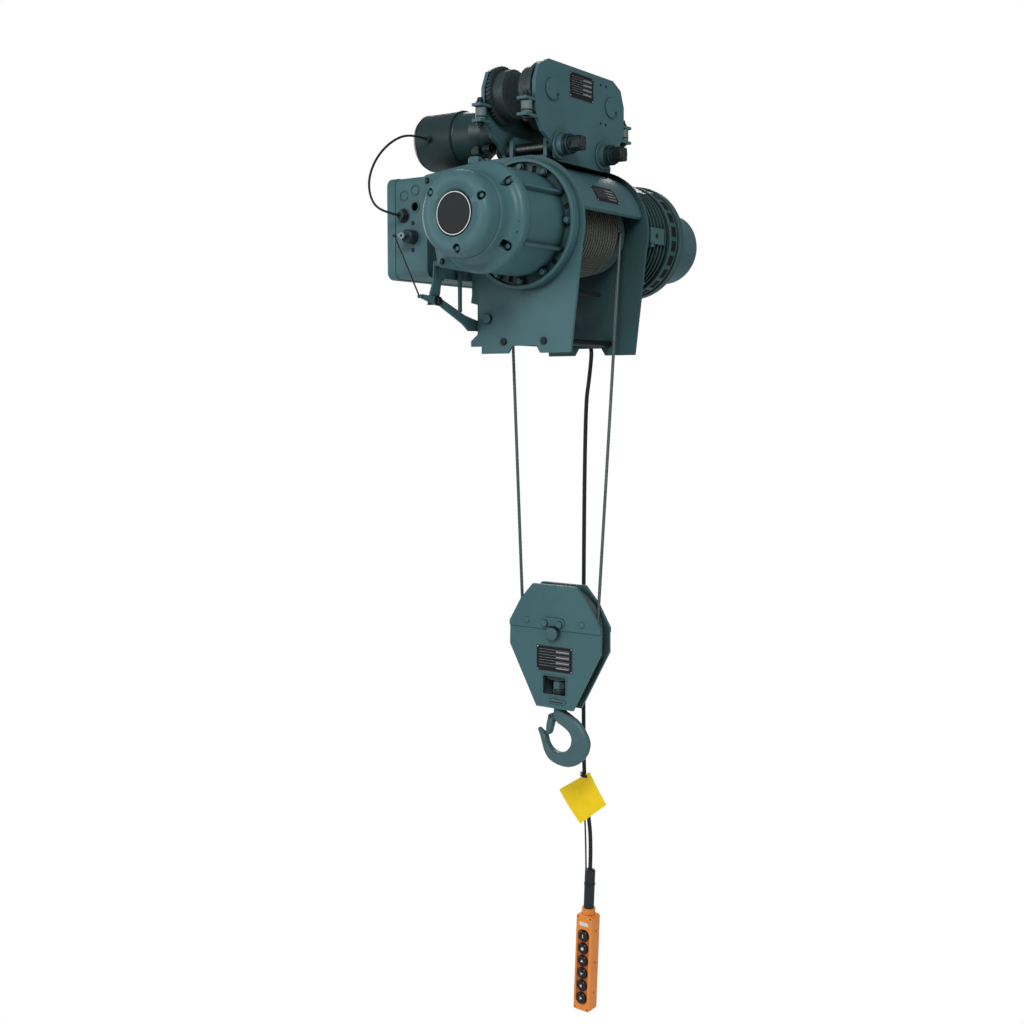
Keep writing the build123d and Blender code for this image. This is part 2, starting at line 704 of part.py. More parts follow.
cover_in = cover_x - 28
cover_end = cap_x + 12
with BuildPart() as gear_cover:
    with BuildSketch(facing_x(cover_x - 16)):
        with BuildLine():
            Polyline((0, axis_z), (ears[0][0], axis_z + ears[0][1]))
            Polyline((0, axis_z), (ears[1][0], axis_z + ears[1][1]))
        with Locations((0, axis_z)):
            Circle(cover_radius)
        with Locations(*[(y, axis_z + z) for y, z in ears]):
            Circle(ear_radius)
        make_hull()
        with Locations((0, axis_z)):
            Circle(boss_radius - 4, mode=Mode.SUBTRACT)
    extrude(amount=16)
    revolve(turning([(cover_x - 16, cover_radius), (cover_x - 22, cover_radius - 1), (cover_x - 29, cover_radius - 8),
                     (cover_x - 33, cover_radius - 20), (cover_x - 40, boss_radius + 7),
                     (cover_x - 55, boss_radius + 1), (cap_x, boss_radius), (cap_x, 0),
                     (cover_end, 0), (cover_end, boss_radius - 16), (cover_x - 50, boss_radius - 12),
                     (cover_x - 44, boss_radius - 4), (cover_x - 16, boss_radius - 4)],
                    (0, 0, axis_z), (1, 0, 0)), axis=Axis((0, 0, axis_z), (1, 0, 0)))
    # bearing bosses for the shaft ends
    with BuildSketch(facing_x(cover_end)):
        with Locations((0, axis_z)):
            Circle(motor_shaft_radius + 12)
        with Locations(*[(y, axis_z + z) for y, z in (first_shaft, second_shaft)]):
            Circle(layshaft_radius + 10)
    extrude(amount=first_plane - 6 - cover_end)
    for y, z, radius, start in ((0, 0, motor_shaft_radius, first_plane - 12.3),
                                (*first_shaft, layshaft_radius, layshaft_start - touch_gap),
                                (*second_shaft, layshaft_radius, layshaft_start - touch_gap)):
        with BuildSketch(facing_x(start)):
            with Locations((y, axis_z + z)):
                Circle(radius + running_fit)
        extrude(amount=first_plane - start, mode=Mode.SUBTRACT)
save(gear_cover, "gearbox_cover")

cap_end = cap_x - cap_depth
cap_inner = cap_radius - 12
cap = turned([(cap_x, cap_radius), (cap_end + 20, cap_radius - 1), (cap_end + 9, cap_radius - 5),
              (cap_end + 2, cap_radius - 12), (cap_end, cap_radius - 20), (cap_end, 66),
              (cap_end + 3, 64), (cap_end + 3, 0), (cap_end + 12, 0), (cap_end + 12, cap_inner - 12),
              (cap_end + 24, cap_inner), (cap_x, cap_inner)], (0, 0, axis_z), (1, 0, 0))
save(cap, "gearbox_cap")

bolt_head = 17.0
with BuildPart() as bolts:
    for start, depth, places in ((flange_x - 10, 10, flange_bolts),
                                 (cover_x - 26, 10, ears)):
        with BuildSketch(facing_x(start)):
            with Locations(*[(y, axis_z + z) for y, z in places]):
                RegularPolygon(bolt_head / 2, 6, major_radius=False)
        extrude(amount=depth)
save(bolts, "gearbox_bolts")

# ---------------------------------------------------------------- hoist motor
shell_end = end_ring_x
motor_start = frame_rear
stator_radius = motor_radius - 8
with BuildPart() as motor_housing:
    revolve(turning([(motor_start, hollow_shaft_radius + 6), (motor_start, fin_radius),
                     (motor_start + 12, fin_radius), (motor_start + 12, motor_radius),
                     (shell_end, motor_radius), (shell_end, end_ring_radius - 6), (shell_end + 6, end_ring_radius),
                     (shell_end + end_ring_depth - 8, end_ring_radius),
                     (shell_end + end_ring_depth, end_ring_radius - 10),
                     (shell_end + end_ring_depth, motor_shaft_radius + running_fit),
                     (shell_end + end_ring_depth - 10, motor_shaft_radius + running_fit),
                     (shell_end + end_ring_depth - 10, stator_radius), (motor_start + 20, stator_radius),
                     (motor_start + 20, hollow_shaft_radius + 6)], (0, 0, axis_z), (1, 0, 0)),
            axis=Axis((0, 0, axis_z), (1, 0, 0)))
    for fin in range(fin_count):
        with BuildSketch(facing_x(motor_start + 28 + fin * fin_pitch)):
            with Locations((0, axis_z)):
                Circle(fin_radius)
                Circle(motor_radius - 1, mode=Mode.SUBTRACT)
        extrude(amount=fin_thick)
    for block in range(6):
        turn = radians(60 * block)
        reach = motor_radius + 11
        with Locations(Location(((motor_start + shell_end) / 2, reach * cos(turn), axis_z + reach * sin(turn)),
                                (degrees(turn), 0, 0))):
            Box(shell_end - motor_start - 2, 25, 44)
save(motor_housing, "motor_housing")

stator = turned(ring_outline(rotor_start - 4, rotor_end + 4, rotor_radius + 0.6, stator_radius, 2),
                (0, 0, axis_z), (1, 0, 0))
save(stator, "motor_stator")

cover_start = shell_end + end_ring_depth
end_cover = turned([(cover_start, end_cover_radius + 14), (cover_start + 8, end_cover_radius + 14),
                    (cover_start + 12, end_cover_radius), (end_cover_x - 22, end_cover_radius),
                    (end_cover_x - 8, end_cover_radius - 7), (end_cover_x, end_cover_radius - 22),
                    (end_cover_x, 0), (end_cover_x - 6, 0), (end_cover_x - 6, end_cover_radius - 26),
                    (end_cover_x - 24, end_cover_radius - 6), (cover_start, end_cover_radius - 6)],
                   (0, 0, axis_z), (1, 0, 0))
save(end_cover, "motor_end_cover")

# ---------------------------------------------------------------- control box
box_rear = box_front + box_length
box_outer_y = box_inner_y + box_depth
box_mid = ((box_front + box_rear) / 2, (box_bottom + box_top) / 2)
box_height = box_top - box_bottom
gland_y = 312.0
gland_z = axis_z + 31
gland_radius = 12.0
gland_reach = 20.0
knockout_radius = 12.75
knockout = (270.0, axis_z + 54)
blank_knockouts = [(312.0, axis_z + 89), (270.0, axis_z + 102)]
cable_start = (box_rear - 40, 300.0)
stop_bar_x = -196.0
stop_bar_y = 209.0
with BuildPart() as control_box:
    with BuildSketch(facing_near(box_outer_y)):
        with Locations(box_mid):
            RectangleRounded(box_length, box_height, box_corner)
    extrude(amount=box_depth)
    with BuildSketch(facing_near(box_outer_y)):
        with Locations(box_mid):
            RectangleRounded(box_length - 2 * box_wall, box_height - 2 * box_wall, box_corner - box_wall)
    extrude(amount=box_depth - box_wall, mode=Mode.SUBTRACT)
    # cable glands: trolley motor lead at the front, pendant lead underneath
    with BuildSketch(facing_x(box_front - gland_reach)):
        with Locations((gland_y, gland_z)):
            Circle(gland_radius)
    extrude(amount=gland_reach + 1)
    with BuildSketch(Plane.XY.offset(box_bottom - gland_reach)):
        with Locations(cable_start):
            Circle(14)
    extrude(amount=gland_reach + 1)
    with BuildSketch(facing_x(box_front - 2)):
        with Locations(*blank_knockouts):
            Circle(knockout_radius + 3)
            Circle(knockout_radius + 0.5, mode=Mode.SUBTRACT)
        with Locations(knockout):
            Circle(knockout_radius + 4)
    extrude(amount=3)
    with BuildSketch(facing_x(box_front - 3)):
        with Locations(knockout):
            Circle(knockout_radius)
    extrude(amount=box_wall + 4, mode=Mode.SUBTRACT)
    # feet that hold the box to the frame plate edges
    for x in (frame_front + 4.5, box_rear - 10):
        with Locations((x, box_inner_y - (box_gap - 2) / 2, axis_z - 12)):
            Box(9, box_gap, 24)
    with Locations(((box_rear + frame_rear) / 2 - 8, frame_radius + 7, axis_z - 12)):
        Box(frame_rear - box_rear + 16, 10, 24)
    # stop bar beside the limit arm, on the inner side of the box
    with Locations((stop_bar_x, stop_bar_y, rocker_z + 42)):
        Box(9, 9, 136)
    with Locations((stop_bar_x, (stop_bar_y + box_inner_y) / 2, rocker_z + 100)):
        Box(9, box_inner_y - stop_bar_y + 2, 18)
save(control_box, "control_box")

with BuildPart() as box_cover:
    with BuildSketch(facing_near(box_outer_y + box_cover_depth)):
        with Locations(box_mid):
            RectangleRounded(box_length + 4, box_height + 4, box_corner + 2)
    extrude(amount=box_cover_depth)
    fillet(box_cover.faces().sort_by(Axis.Y)[-1].edges(), 8)
    with BuildSketch(facing_near(box_outer_y + box_cover_depth - box_wall)):
        with Locations(box_mid):
            RectangleRounded(box_length - 2 * box_wall, box_height - 2 * box_wall, box_corner - box_wall)
    extrude(amount=box_cover_depth, mode=Mode.SUBTRACT)
save(box_cover, "control_box_cover")

# ---------------------------------------------------------------- upper limit switch and linkage
switch_face = box_front - 34
lever_hub = 9.0
lever_thick = 6.0
with BuildPart() as limit_switch:
    with BuildSketch(facing_x(switch_face)):
        with Locations((switch_y, switch_z)):
            Circle(switch_radius)
    extrude(amount=box_front - switch_face)
    chamfer(limit_switch.faces().sort_by(Axis.X)[0].edges(), 3)
    with BuildSketch(facing_x(lever_x - 8)):
        with Locations((switch_y, switch_z)):
            Circle(4)
    extrude(amount=switch_face - lever_x + 8)
save(limit_switch, "limit_switch")

with BuildPart() as switch_lever:
    with BuildSketch(facing_x(lever_x - lever_thick)):
        with Locations((switch_y, switch_z)):
            Circle(lever_hub)
        with Locations((switch_y + lever_length / 2, switch_z)):
            Rectangle(lever_length, 9)
        with Locations((switch_y + lever_length, switch_z)):
            Circle(5)
            Circle(2.6, mode=Mode.SUBTRACT)
        with Locations((switch_y, switch_z)):
            Circle(4 + running_fit, mode=Mode.SUBTRACT)
    extrude(amount=lever_thick)
save(switch_lever, "switch_lever")

pivot_radius = 5.0
pad_length = 28.0
pad_width = 35.0
rocker_tip_x = rocker_x - rocker_short
rocker_tip_z = rocker_z + 9
rocker_end = (rocker_x + rocker_reach, rocker_z - 70)
with BuildPart() as rocker:
    with BuildSketch(facing_near(rocker_y + rocker_thick)):
        with BuildLine():
            Polyline((rocker_tip_x, rocker_tip_z - 6), (rocker_x - 10, rocker_z - 12),
                     (rocker_x + 12, rocker_z - 14), (rocker_x + 120, rocker_z - 62),
                     (rocker_x + 150, rocker_z - 82), (rocker_end[0], rocker_end[1] - 10),
                     (rocker_end[0], rocker_end[1] + 10), (rocker_x + 165, rocker_z - 44),
                     (rocker_x + 130, rocker_z - 36), (rocker_x + 20, rocker_z + 6),
                     (rocker_x - 8, rocker_z + 12), (rocker_tip_x, rocker_tip_z + 6), close=True)
        make_face()
        with Locations((rocker_x, rocker_z)):
            Circle(14)
        with Locations((rocker_tip_x, rocker_tip_z)):
            Circle(6)
        with Locations((rocker_x, rocker_z)):
            Circle(pivot_radius + running_fit, mode=Mode.SUBTRACT)
        with Locations((rocker_tip_x, rocker_tip_z)):
            Circle(2.6, mode=Mode.SUBTRACT)
    extrude(amount=rocker_thick)
    # pad that the rising hook block lifts
    with Locations((rocker_end[0] - pad_length / 2, rocker_y - pad_width / 2 + 1, rocker_end[1])):
        Box(pad_length, pad_width, rocker_thick)
save(rocker, "limit_arm")

strap_y = rocker_y + rocker_thick + 1
strap_top = axis_z + ears[1][1]
with BuildPart() as arm_bracket:
    with BuildSketch(facing_near(strap_y + 5)):
        with BuildLine():
            Polyline((rocker_x - 12, rocker_z - 6), (rocker_x + 12, rocker_z - 6), (rocker_x + 14, rocker_z + 24),
                     (rocker_x + 8, strap_top - 8), (rocker_x + 8, strap_top + 6),
                     (rocker_x - 6, strap_top + 6), (rocker_x - 6, strap_top - 8),
                     (rocker_x - 12, rocker_z + 24), close=True)
        make_face()
    extrude(amount=5)
    with Locations((rocker_x + 1, (strap_y + 5 + ears[1][0] + 8) / 2, strap_top)):
        Box(12, strap_y + 5 - ears[1][0] - 8, 14)
    with BuildSketch(facing_near(strap_y + 5)):
        with Locations((rocker_x, rocker_z)):
            Circle(pivot_radius)
    extrude(amount=5 + rocker_thick + 6)
    with BuildSketch(facing_near(rocker_y - 1)):
        with Locations((rocker_x, rocker_z)):
            RegularPolygon(9, 6, major_radius=False)
    extrude(amount=6)
save(arm_bracket, "arm_bracket")

rod_radius = 2.5
rod_low = Vector(rocker_tip_x, rocker_y + rocker_thick + 5, rocker_tip_z)
rod_high = Vector(lever_x - lever_thick - 5, switch_y + lever_length, switch_z)
rod_run = rod_high - rod_low
with BuildPart() as rod:
    with BuildSketch(Plane(origin=rod_low, z_dir=rod_run)):
        Circle(rod_radius)
    extrude(amount=rod_run.length)
    with BuildSketch(facing_near(rod_low.Y + 3)):
        with Locations((rod_low.X, rod_low.Z)):
            Circle(5)
    extrude(amount=6)
    with BuildSketch(facing_x(rod_high.X - 3)):
        with Locations((rod_high.Y, rod_high.Z)):
            Circle(5)
    extrude(amount=6)
    with BuildSketch(facing_near(rod_low.Y)):
        with Locations((rod_low.X, rod_low.Z)):
            Circle(rod_radius)
    extrude(amount=rod_low.Y - rocker_y)
save(rod, "limit_rod")

# ---------------------------------------------------------------- trolley motor lead
terminal_x = drive_motor_x - drive_motor_radius - terminal_reach
lead_start_z = drive_motor_z - 5
motor_lead = [(terminal_x - 1, terminal_y, lead_start_z), (-245, 356, -6), (-312, 372, -34), (-368, 388, -92),
              (-400, 392, -165), (-412, 362, -235), (-385, 322, -259),
              (box_front - gland_reach - 1.6, gland_y, gland_z)]
cord_tube(motor_lead, motor_cable_dia, "motor_cable")

# ---------------------------------------------------------------- hook block
block_front = block_x - block_half
block_rear = block_x + block_half
block_top = 150.0
block_shoulder = 125.0
plate_top = [(80, block_top), (block_shoulder, 100), (sheave_radius + 31, 27)]
half_outline = plate_top + [(sheave_radius + 32, -48), (68, -236)]
block_outline = half_outline + [(-y, z) for y, z in reversed(half_outline)]
window_half = 42.0
window_top = -135.0
window_low = -193.0
trunnion_z = block_z - 212.0
trunnion_radius = 9.0
guard_low = 12.0
guard_thick = 4.0
with BuildPart() as block_plates:
    for x in (block_front, block_rear - block_plate):
        with BuildSketch(facing_x(x)):
            with BuildLine():
                Polyline(*[(y, block_z + z) for y, z in block_outline], close=True)
            make_face()
            with Locations((0, block_z)):
                Circle(sheave_pin_radius + running_fit, mode=Mode.SUBTRACT)
            with Locations((0, block_z + (window_top + window_low) / 2)):
                RectangleRounded(2 * window_half, window_top - window_low, 4, mode=Mode.SUBTRACT)
            with Locations((0, trunnion_z)):
                Circle(trunnion_radius + running_fit, mode=Mode.SUBTRACT)
        extrude(amount=block_plate)
save(block_plates, "block_plates")

guard_outline = plate_top + [(sheave_radius + 31, guard_low)]
guard_points = guard_outline + [(-y, z) for y, z in reversed(guard_outline)]
with BuildPart() as guards:
    for x in (block_front - guard_thick, block_rear):
        with BuildSketch(facing_x(x)):
            with BuildLine():
                Polyline(*[(y, block_z + z) for y, z in guard_points], close=True)
            make_face()
            with Locations((0, block_z)):
                Circle(sheave_pin_radius + 6, mode=Mode.SUBTRACT)
        extrude(amount=guard_thick)
save(guards, "sheave_guards")

pin_reach = 16.0
save(turned([(block_front - pin_reach, 0), (block_front - pin_reach, sheave_pin_radius - 2),
             (block_front - pin_reach + 2, sheave_pin_radius), (block_rear + pin_reach - 2, sheave_pin_radius),
             (block_rear + pin_reach, sheave_pin_radius - 2), (block_rear + pin_reach, 0)],
            (0, 0, block_z), (1, 0, 0)), "sheave_pin")

groove_radius = sheave_radius - rope_radius - 0.5
groove_side = [(sheave_half, groove_radius - 8), (sheave_half, sheave_radius + sheave_rim - 1),
               (sheave_half - 2, sheave_radius + sheave_rim), (rope_radius + 1.6, sheave_radius - 2.5),
               (3.6, groove_radius + 1.2)]
hub_side = [(19, sheave_pin_radius + running_fit), (19, 34), (7, 36), (7, groove_radius - 14)]
sheave_side = hub_side + groove_side
sheave = turned([(block_x - x, radius) for x, radius in sheave_side] + [(block_x, groove_radius)] +
                [(block_x + x, radius) for x, radius in reversed(sheave_side)],
                (0, 0, block_z), (1, 0, 0))
save(sheave, "sheave")

cross_half = 22.0
cross_height = 30.0
with BuildPart() as crosshead:
    with Locations((block_x, 0, trunnion_z)):
        Box(2 * (block_half - block_plate) - 1, 2 * cross_half + 16, cross_height)
    with BuildSketch(facing_x(block_front - 4)):
        with Locations((0, trunnion_z)):
            Circle(trunnion_radius)
    extrude(amount=2 * block_half + 8)
    with BuildSketch(Plane.XY.offset(trunnion_z - cross_height)):
        with Locations((block_x, 0)):
            Circle(shank_radius + running_fit)
    extrude(amount=2 * cross_height, mode=Mode.SUBTRACT)
save(crosshead, "crosshead")

nut_start = trunnion_z + cross_height / 2 + touch_gap
nut_height = 26.0
nut_half = 17.0
shank_top = nut_start + nut_height + 5
with BuildPart() as hook_nut:
    with BuildSketch(Plane.XY.offset(nut_start)):
        with Locations((block_x, 0)):
            RegularPolygon(nut_half, 6, major_radius=False)
            Circle(shank_radius + running_fit, mode=Mode.SUBTRACT)
    extrude(amount=nut_height)
save(hook_nut, "hook_nut")

bowl_y, bowl_z, bowl = hook_bowl_y, hook_bowl_z, hook_bowl_radius
neck_z = block_z - neck_drop
tip_radius = bowl / 9
tip_y, tip_z = bowl_y + 1.7 * bowl, bowl_z + 0.46 * bowl
shoulder_low = (bowl_y - 1.9 * bowl, bowl_z + 0.91 * bowl)
heel = (bowl_y - 1.95 * bowl, bowl_z - 1.22 * bowl)
under = (bowl_y + 0.74 * bowl, bowl_z - 1.65 * bowl)
hook_shoulder = 0.65 * hook_half
hinge_y, hinge_z = bowl_y + 0.65 * bowl, neck_z - 0.565 * bowl
hinge_radius = 0.2 * bowl
latch_half = 6.0
slot_half = latch_half + 1
slot_radius = 0.52 * bowl
with BuildPart() as hook:
    with BuildSketch(facing_x(block_x - hook_shoulder)) as hook_side:
        with BuildLine():
            Polyline((-shank_radius, neck_z), (-2.2 * shank_radius, neck_z - 0.17 * bowl),
                     (-1.43 * bowl, neck_z - 0.52 * bowl), shoulder_low)
            ThreePointArc(shoulder_low, (bowl_y - 2.42 * bowl, bowl_z - 0.13 * bowl), heel)
            ThreePointArc(heel, (bowl_y - 0.74 * bowl, bowl_z - 1.93 * bowl), under)
            ThreePointArc(under, (bowl_y + 1.33 * bowl, bowl_z - 0.67 * bowl),
                          (tip_y + 0.8 * tip_radius, tip_z - 1.6 * tip_radius))
            ThreePointArc((tip_y + 0.8 * tip_radius, tip_z - 1.6 * tip_radius),
                          (tip_y + 0.8 * tip_radius, tip_z + 0.4 * tip_radius),
                          (tip_y - tip_radius, tip_z + 0.2 * tip_radius))
            Line((tip_y - tip_radius, tip_z + 0.2 * tip_radius), (bowl_y + bowl, bowl_z))
            ThreePointArc((bowl_y + bowl, bowl_z), (bowl_y, bowl_z - bowl), (bowl_y - bowl, bowl_z))
            ThreePointArc((bowl_y - bowl, bowl_z), (bowl_y - 0.74 * bowl, bowl_z + 0.59 * bowl),
                          (bowl_y - 0.17 * bowl, bowl_z + 0.85 * bowl))
            Polyline((bowl_y - 0.17 * bowl, bowl_z + 0.85 * bowl), (hinge_y - 0.3 * bowl, hinge_z - 0.22 * bowl),
                     (hinge_y + 0.09 * bowl, hinge_z - 0.24 * bowl), (hinge_y + 0.24 * bowl, hinge_z),
                     (hinge_y + 0.2 * bowl, hinge_z + 0.24 * bowl),
                     (1.3 * shank_radius, neck_z - 0.1 * bowl), (shank_radius, neck_z), (-shank_radius, neck_z))
        make_face()
    extrude(amount=2 * hook_shoulder)
    # the middle of the section is thicker than its edges
    with BuildSketch(facing_x(block_x - hook_half)):
        add(hook_side.sketch_local)
        offset(amount=-hook_edge)
    extrude(amount=2 * hook_half)
    with BuildSketch(Plane.XY.offset(neck_z - shank_radius)):
        with Locations((block_x, 0)):
            Circle(shank_radius)
    extrude(amount=shank_top - neck_z + shank_radius)
    # slot for the latch, crossed by its pin
    with BuildSketch(facing_x(block_x - slot_half)):
        with Locations((hinge_y, hinge_z)):
            Circle(slot_radius)
        with Locations((hinge_y - slot_radius, hinge_z + 0.9 * slot_radius)):
            Rectangle(slot_radius, 2 * slot_radius, mode=Mode.SUBTRACT)
    extrude(amount=2 * slot_half, mode=Mode.SUBTRACT)
    with BuildSketch(facing_x(block_x - hook_half - 1)):
        with Locations((hinge_y, hinge_z)):
            Circle(3)
    extrude(amount=2 * hook_half + 2)
save(hook, "hook")

latch_low = (bowl_y + bowl - 3, bowl_z + 4)
latch_width = 11.0
with BuildPart() as latch:
    with BuildSketch(facing_x(block_x - latch_half)):
        with BuildLine():
            Polyline((hinge_y - hinge_radius, hinge_z), (hinge_y, hinge_z + hinge_radius),
                     (hinge_y + hinge_radius, hinge_z), (latch_low[0] + 3, latch_low[1] + 2.5 * latch_width), latch_low,
                     (latch_low[0] - latch_width, latch_low[1] + 2),
                     (hinge_y - latch_width / 2, hinge_z - 2 * hinge_radius), close=True)
        make_face()
        with Locations((hinge_y, hinge_z)):
            Circle(hinge_radius)
            Circle(3 + running_fit, mode=Mode.SUBTRACT)
    extrude(amount=2 * latch_half)
save(latch, "hook_latch")

# ---------------------------------------------------------------- rope falls and loop
def straight_rope(low, high, label):
    run = Vector(*high) - Vector(*low)
    with BuildPart() as fall:
        with BuildSketch(Plane(origin=low, z_dir=run)):
            Circle(rope_radius)
        extrude(amount=run.length)
    save(fall, label)


end_gap = 1.0
straight_rope((block_x, -sheave_radius, block_z + end_gap),
              (rope_leaves_x, -drum_pitch_radius - 1, axis_z), "rope_fall_drum")
straight_rope((block_x, sheave_radius, block_z + end_gap), (anchor_x, anchor_y, socket_low - end_gap),
              "rope_fall_anchor")

with BuildPart() as loop:
    with BuildSketch(Plane(origin=(block_x, -sheave_radius, block_z), z_dir=(0, 0, -1))):
        Circle(rope_radius)
    revolve(axis=Axis((block_x, 0, block_z), (1, 0, 0)), revolution_arc=180)
save(loop, "rope_loop")

# ---------------------------------------------------------------- pendant cable
tilt = radians(pendant_tilt)
hand_plane = Plane(origin=(pendant_x, pendant_y, pendant_top), x_dir=(0, cos(tilt), sin(tilt)), z_dir=(-1, 0, 0))
upward = Vector(0, -sin(tilt), cos(tilt))
sleeve_low = Vector(pendant_x, pendant_y, pendant_top) + upward * collar_height
sleeve_high = sleeve_low + upward * sleeve_length
above_sleeve = sleeve_high + upward * 95
pendant_route = [(*cable_start, box_bottom - gland_reach), (*cable_start, -545), (140, 285, -602),
                 (236, 236, -600), (258, 125, -577), (236, 12, -612), (218, 10, -720), (214, 27, -840),
                 (214, 27, -2005), (211, 6, -2125), tuple(above_sleeve), tuple(sleeve_high)]
cord_tube(pendant_route, cable_dia, "pendant_cable")

# ---------------------------------------------------------------- pendant control
with BuildPart() as sleeve:
    with BuildSketch(Plane(origin=sleeve_low, z_dir=upward)):
        Circle(17)
    extrude(amount=sleeve_length)
    chamfer(sleeve.edges().filter_by(GeomType.CIRCLE).sort_by(Axis.Z)[-1], 5)
save(sleeve, "pendant_sleeve")

button_places = [(0, first_button + k * button_pitch) for k in range(button_count)]
strip_mid = first_button + (button_count - 1) * button_pitch / 2
strip_length = (button_count - 1) * button_pitch + 2 * button_radius + 10
recess_depth = 3.0
with BuildPart() as shell:
    with BuildSketch(hand_plane):
        with Locations((0, pendant_length / 2)):
            RectangleRounded(pendant_width, pendant_length, 9)
    extrude(amount=shell_depth)
    fillet(shell.faces().sort_by(Axis.X)[0].edges(), 5)
    with BuildSketch(hand_plane):
        with Locations((0, pendant_length / 2)):
            RectangleRounded(pendant_width - 2 * shell_wall, pendant_length - 2 * shell_wall, 6)
    extrude(amount=shell_depth - recess_depth - shell_wall, mode=Mode.SUBTRACT)
    with BuildSketch(hand_plane.offset(shell_depth - recess_depth)):
        with Locations((0, strip_mid)):
            RectangleRounded(2 * button_radius + 8, strip_length, 18)
    extrude(amount=recess_depth + 1, mode=Mode.SUBTRACT)
    with BuildSketch(hand_plane):
        with Locations(*button_places):
            Circle(button_radius + touch_gap)
    extrude(amount=shell_depth + 1, mode=Mode.SUBTRACT)
save(shell, "pendant_shell")

with BuildPart() as back:
    with BuildSketch(hand_plane):
        with Locations((0, pendant_length / 2)):
            RectangleRounded(pendant_width, pendant_length, 9)
    extrude(amount=-shell_depth)
    fillet(back.faces().sort_by(Axis.X)[-1].edges(), 7)
    with BuildSketch(hand_plane):
        with Locations((0, pendant_length / 2)):
            RectangleRounded(pendant_width - 2 * shell_wall, pendant_length - 2 * shell_wall, 6)
    extrude(amount=-(shell_depth - shell_wall), mode=Mode.SUBTRACT)
    with BuildSketch(Plane(origin=(pendant_x, pendant_y, pendant_top), z_dir=upward)):
        with Locations((0, 0)):
            Circle(22)
    extrude(amount=collar_height)
save(back, "pendant_back")

button_seat = shell_depth - recess_depth - shell_wall
for number, place in enumerate(button_places, 1):
    with BuildPart() as button:
        with BuildSketch(hand_plane.offset(button_seat - 9)):
            with Locations(place):
                Circle(button_radius)
        extrude(amount=shell_depth + 5 - button_seat + 9)
        chamfer(button.edges().filter_by(GeomType.CIRCLE).sort_by(Axis.X)[0], 2)
        with BuildSketch(hand_plane.offset(button_seat - 4)):
            with Locations(place):
                Circle(button_radius + 2)
        extrude(amount=4 - touch_gap)
    save(button, f"button_{number}")
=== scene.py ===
from math import cos, pi, radians, sin

import bpy
import bmesh
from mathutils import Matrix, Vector


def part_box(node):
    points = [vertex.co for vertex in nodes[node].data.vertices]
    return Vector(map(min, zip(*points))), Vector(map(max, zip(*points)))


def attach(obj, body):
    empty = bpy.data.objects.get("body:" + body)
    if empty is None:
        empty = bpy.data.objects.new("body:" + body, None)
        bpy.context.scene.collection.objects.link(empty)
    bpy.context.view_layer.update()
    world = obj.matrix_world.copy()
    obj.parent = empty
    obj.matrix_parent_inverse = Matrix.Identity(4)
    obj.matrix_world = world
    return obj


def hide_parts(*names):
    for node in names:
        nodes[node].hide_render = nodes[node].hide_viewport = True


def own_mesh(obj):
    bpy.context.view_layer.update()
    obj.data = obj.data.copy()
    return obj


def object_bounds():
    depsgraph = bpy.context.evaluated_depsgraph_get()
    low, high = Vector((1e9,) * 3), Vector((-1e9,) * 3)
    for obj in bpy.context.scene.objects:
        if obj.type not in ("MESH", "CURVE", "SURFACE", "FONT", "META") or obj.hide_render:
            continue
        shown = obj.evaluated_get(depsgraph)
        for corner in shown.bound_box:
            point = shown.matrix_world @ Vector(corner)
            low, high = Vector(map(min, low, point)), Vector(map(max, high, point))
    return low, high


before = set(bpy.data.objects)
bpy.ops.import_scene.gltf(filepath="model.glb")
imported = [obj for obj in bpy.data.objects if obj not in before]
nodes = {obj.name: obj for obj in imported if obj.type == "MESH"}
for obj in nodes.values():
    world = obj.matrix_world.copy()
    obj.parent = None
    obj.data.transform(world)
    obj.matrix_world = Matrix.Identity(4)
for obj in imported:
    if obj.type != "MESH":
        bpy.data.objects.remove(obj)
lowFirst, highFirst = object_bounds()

scene = bpy.context.scene

# the camera stands below the gearbox end and looks up along the beam
camera = {
    "place": (-3.444, -2.307, -0.778),
    "heading": 35.59,      # degrees round from +X towards +Y
    "down": 5.037,
    "lens": 47.74,
}
cameraData = bpy.data.cameras.new("camera")
cameraData.lens = camera["lens"]
cameraData.sensor_width = 36
cameraData.clip_end = 60
cameraObject = bpy.data.objects.new("camera", cameraData)
scene.collection.objects.link(cameraObject)
heading, down = radians(camera["heading"]), radians(camera["down"])
sight = Vector((cos(heading) * cos(down), sin(heading) * cos(down), -sin(down)))
cameraObject.location = camera["place"]
cameraObject.rotation_euler = sight.to_track_quat("-Z", "Y").to_euler()
scene.camera = cameraObject
scene.view_settings.view_transform = "Standard"
print("camera placed")


def newMaterial(name):
    material = bpy.data.materials.new(name)
    material.use_nodes = True
    tree = material.node_tree
    return material, tree, tree.nodes["Principled BSDF"]


def link(tree, fromSocket, toSocket):
    tree.links.new(fromSocket, toSocket)


def noiseNode(tree, scale, detail=4.0, roughness=0.55, coords="Object"):
    place = tree.nodes.new("ShaderNodeTexCoord")
    noise = tree.nodes.new("ShaderNodeTexNoise")
    noise.inputs["Scale"].default_value = scale
    noise.inputs["Detail"].default_value = detail
    noise.inputs["Roughness"].default_value = roughness
    link(tree, place.outputs[coords], noise.inputs["Vector"])
    return noise


def rampNode(tree, source, stops):
    ramp = tree.nodes.new("ShaderNodeValToRGB")
    for element, (position, colour) in zip(ramp.color_ramp.elements, (stops[0], stops[-1])):
        element.position = position
        element.color = (*colour, 1)
    for position, colour in stops[1:-1]:
        ramp.color_ramp.elements.new(position).color = (*colour, 1)
    link(tree, source, ramp.inputs["Fac"])
    return ramp


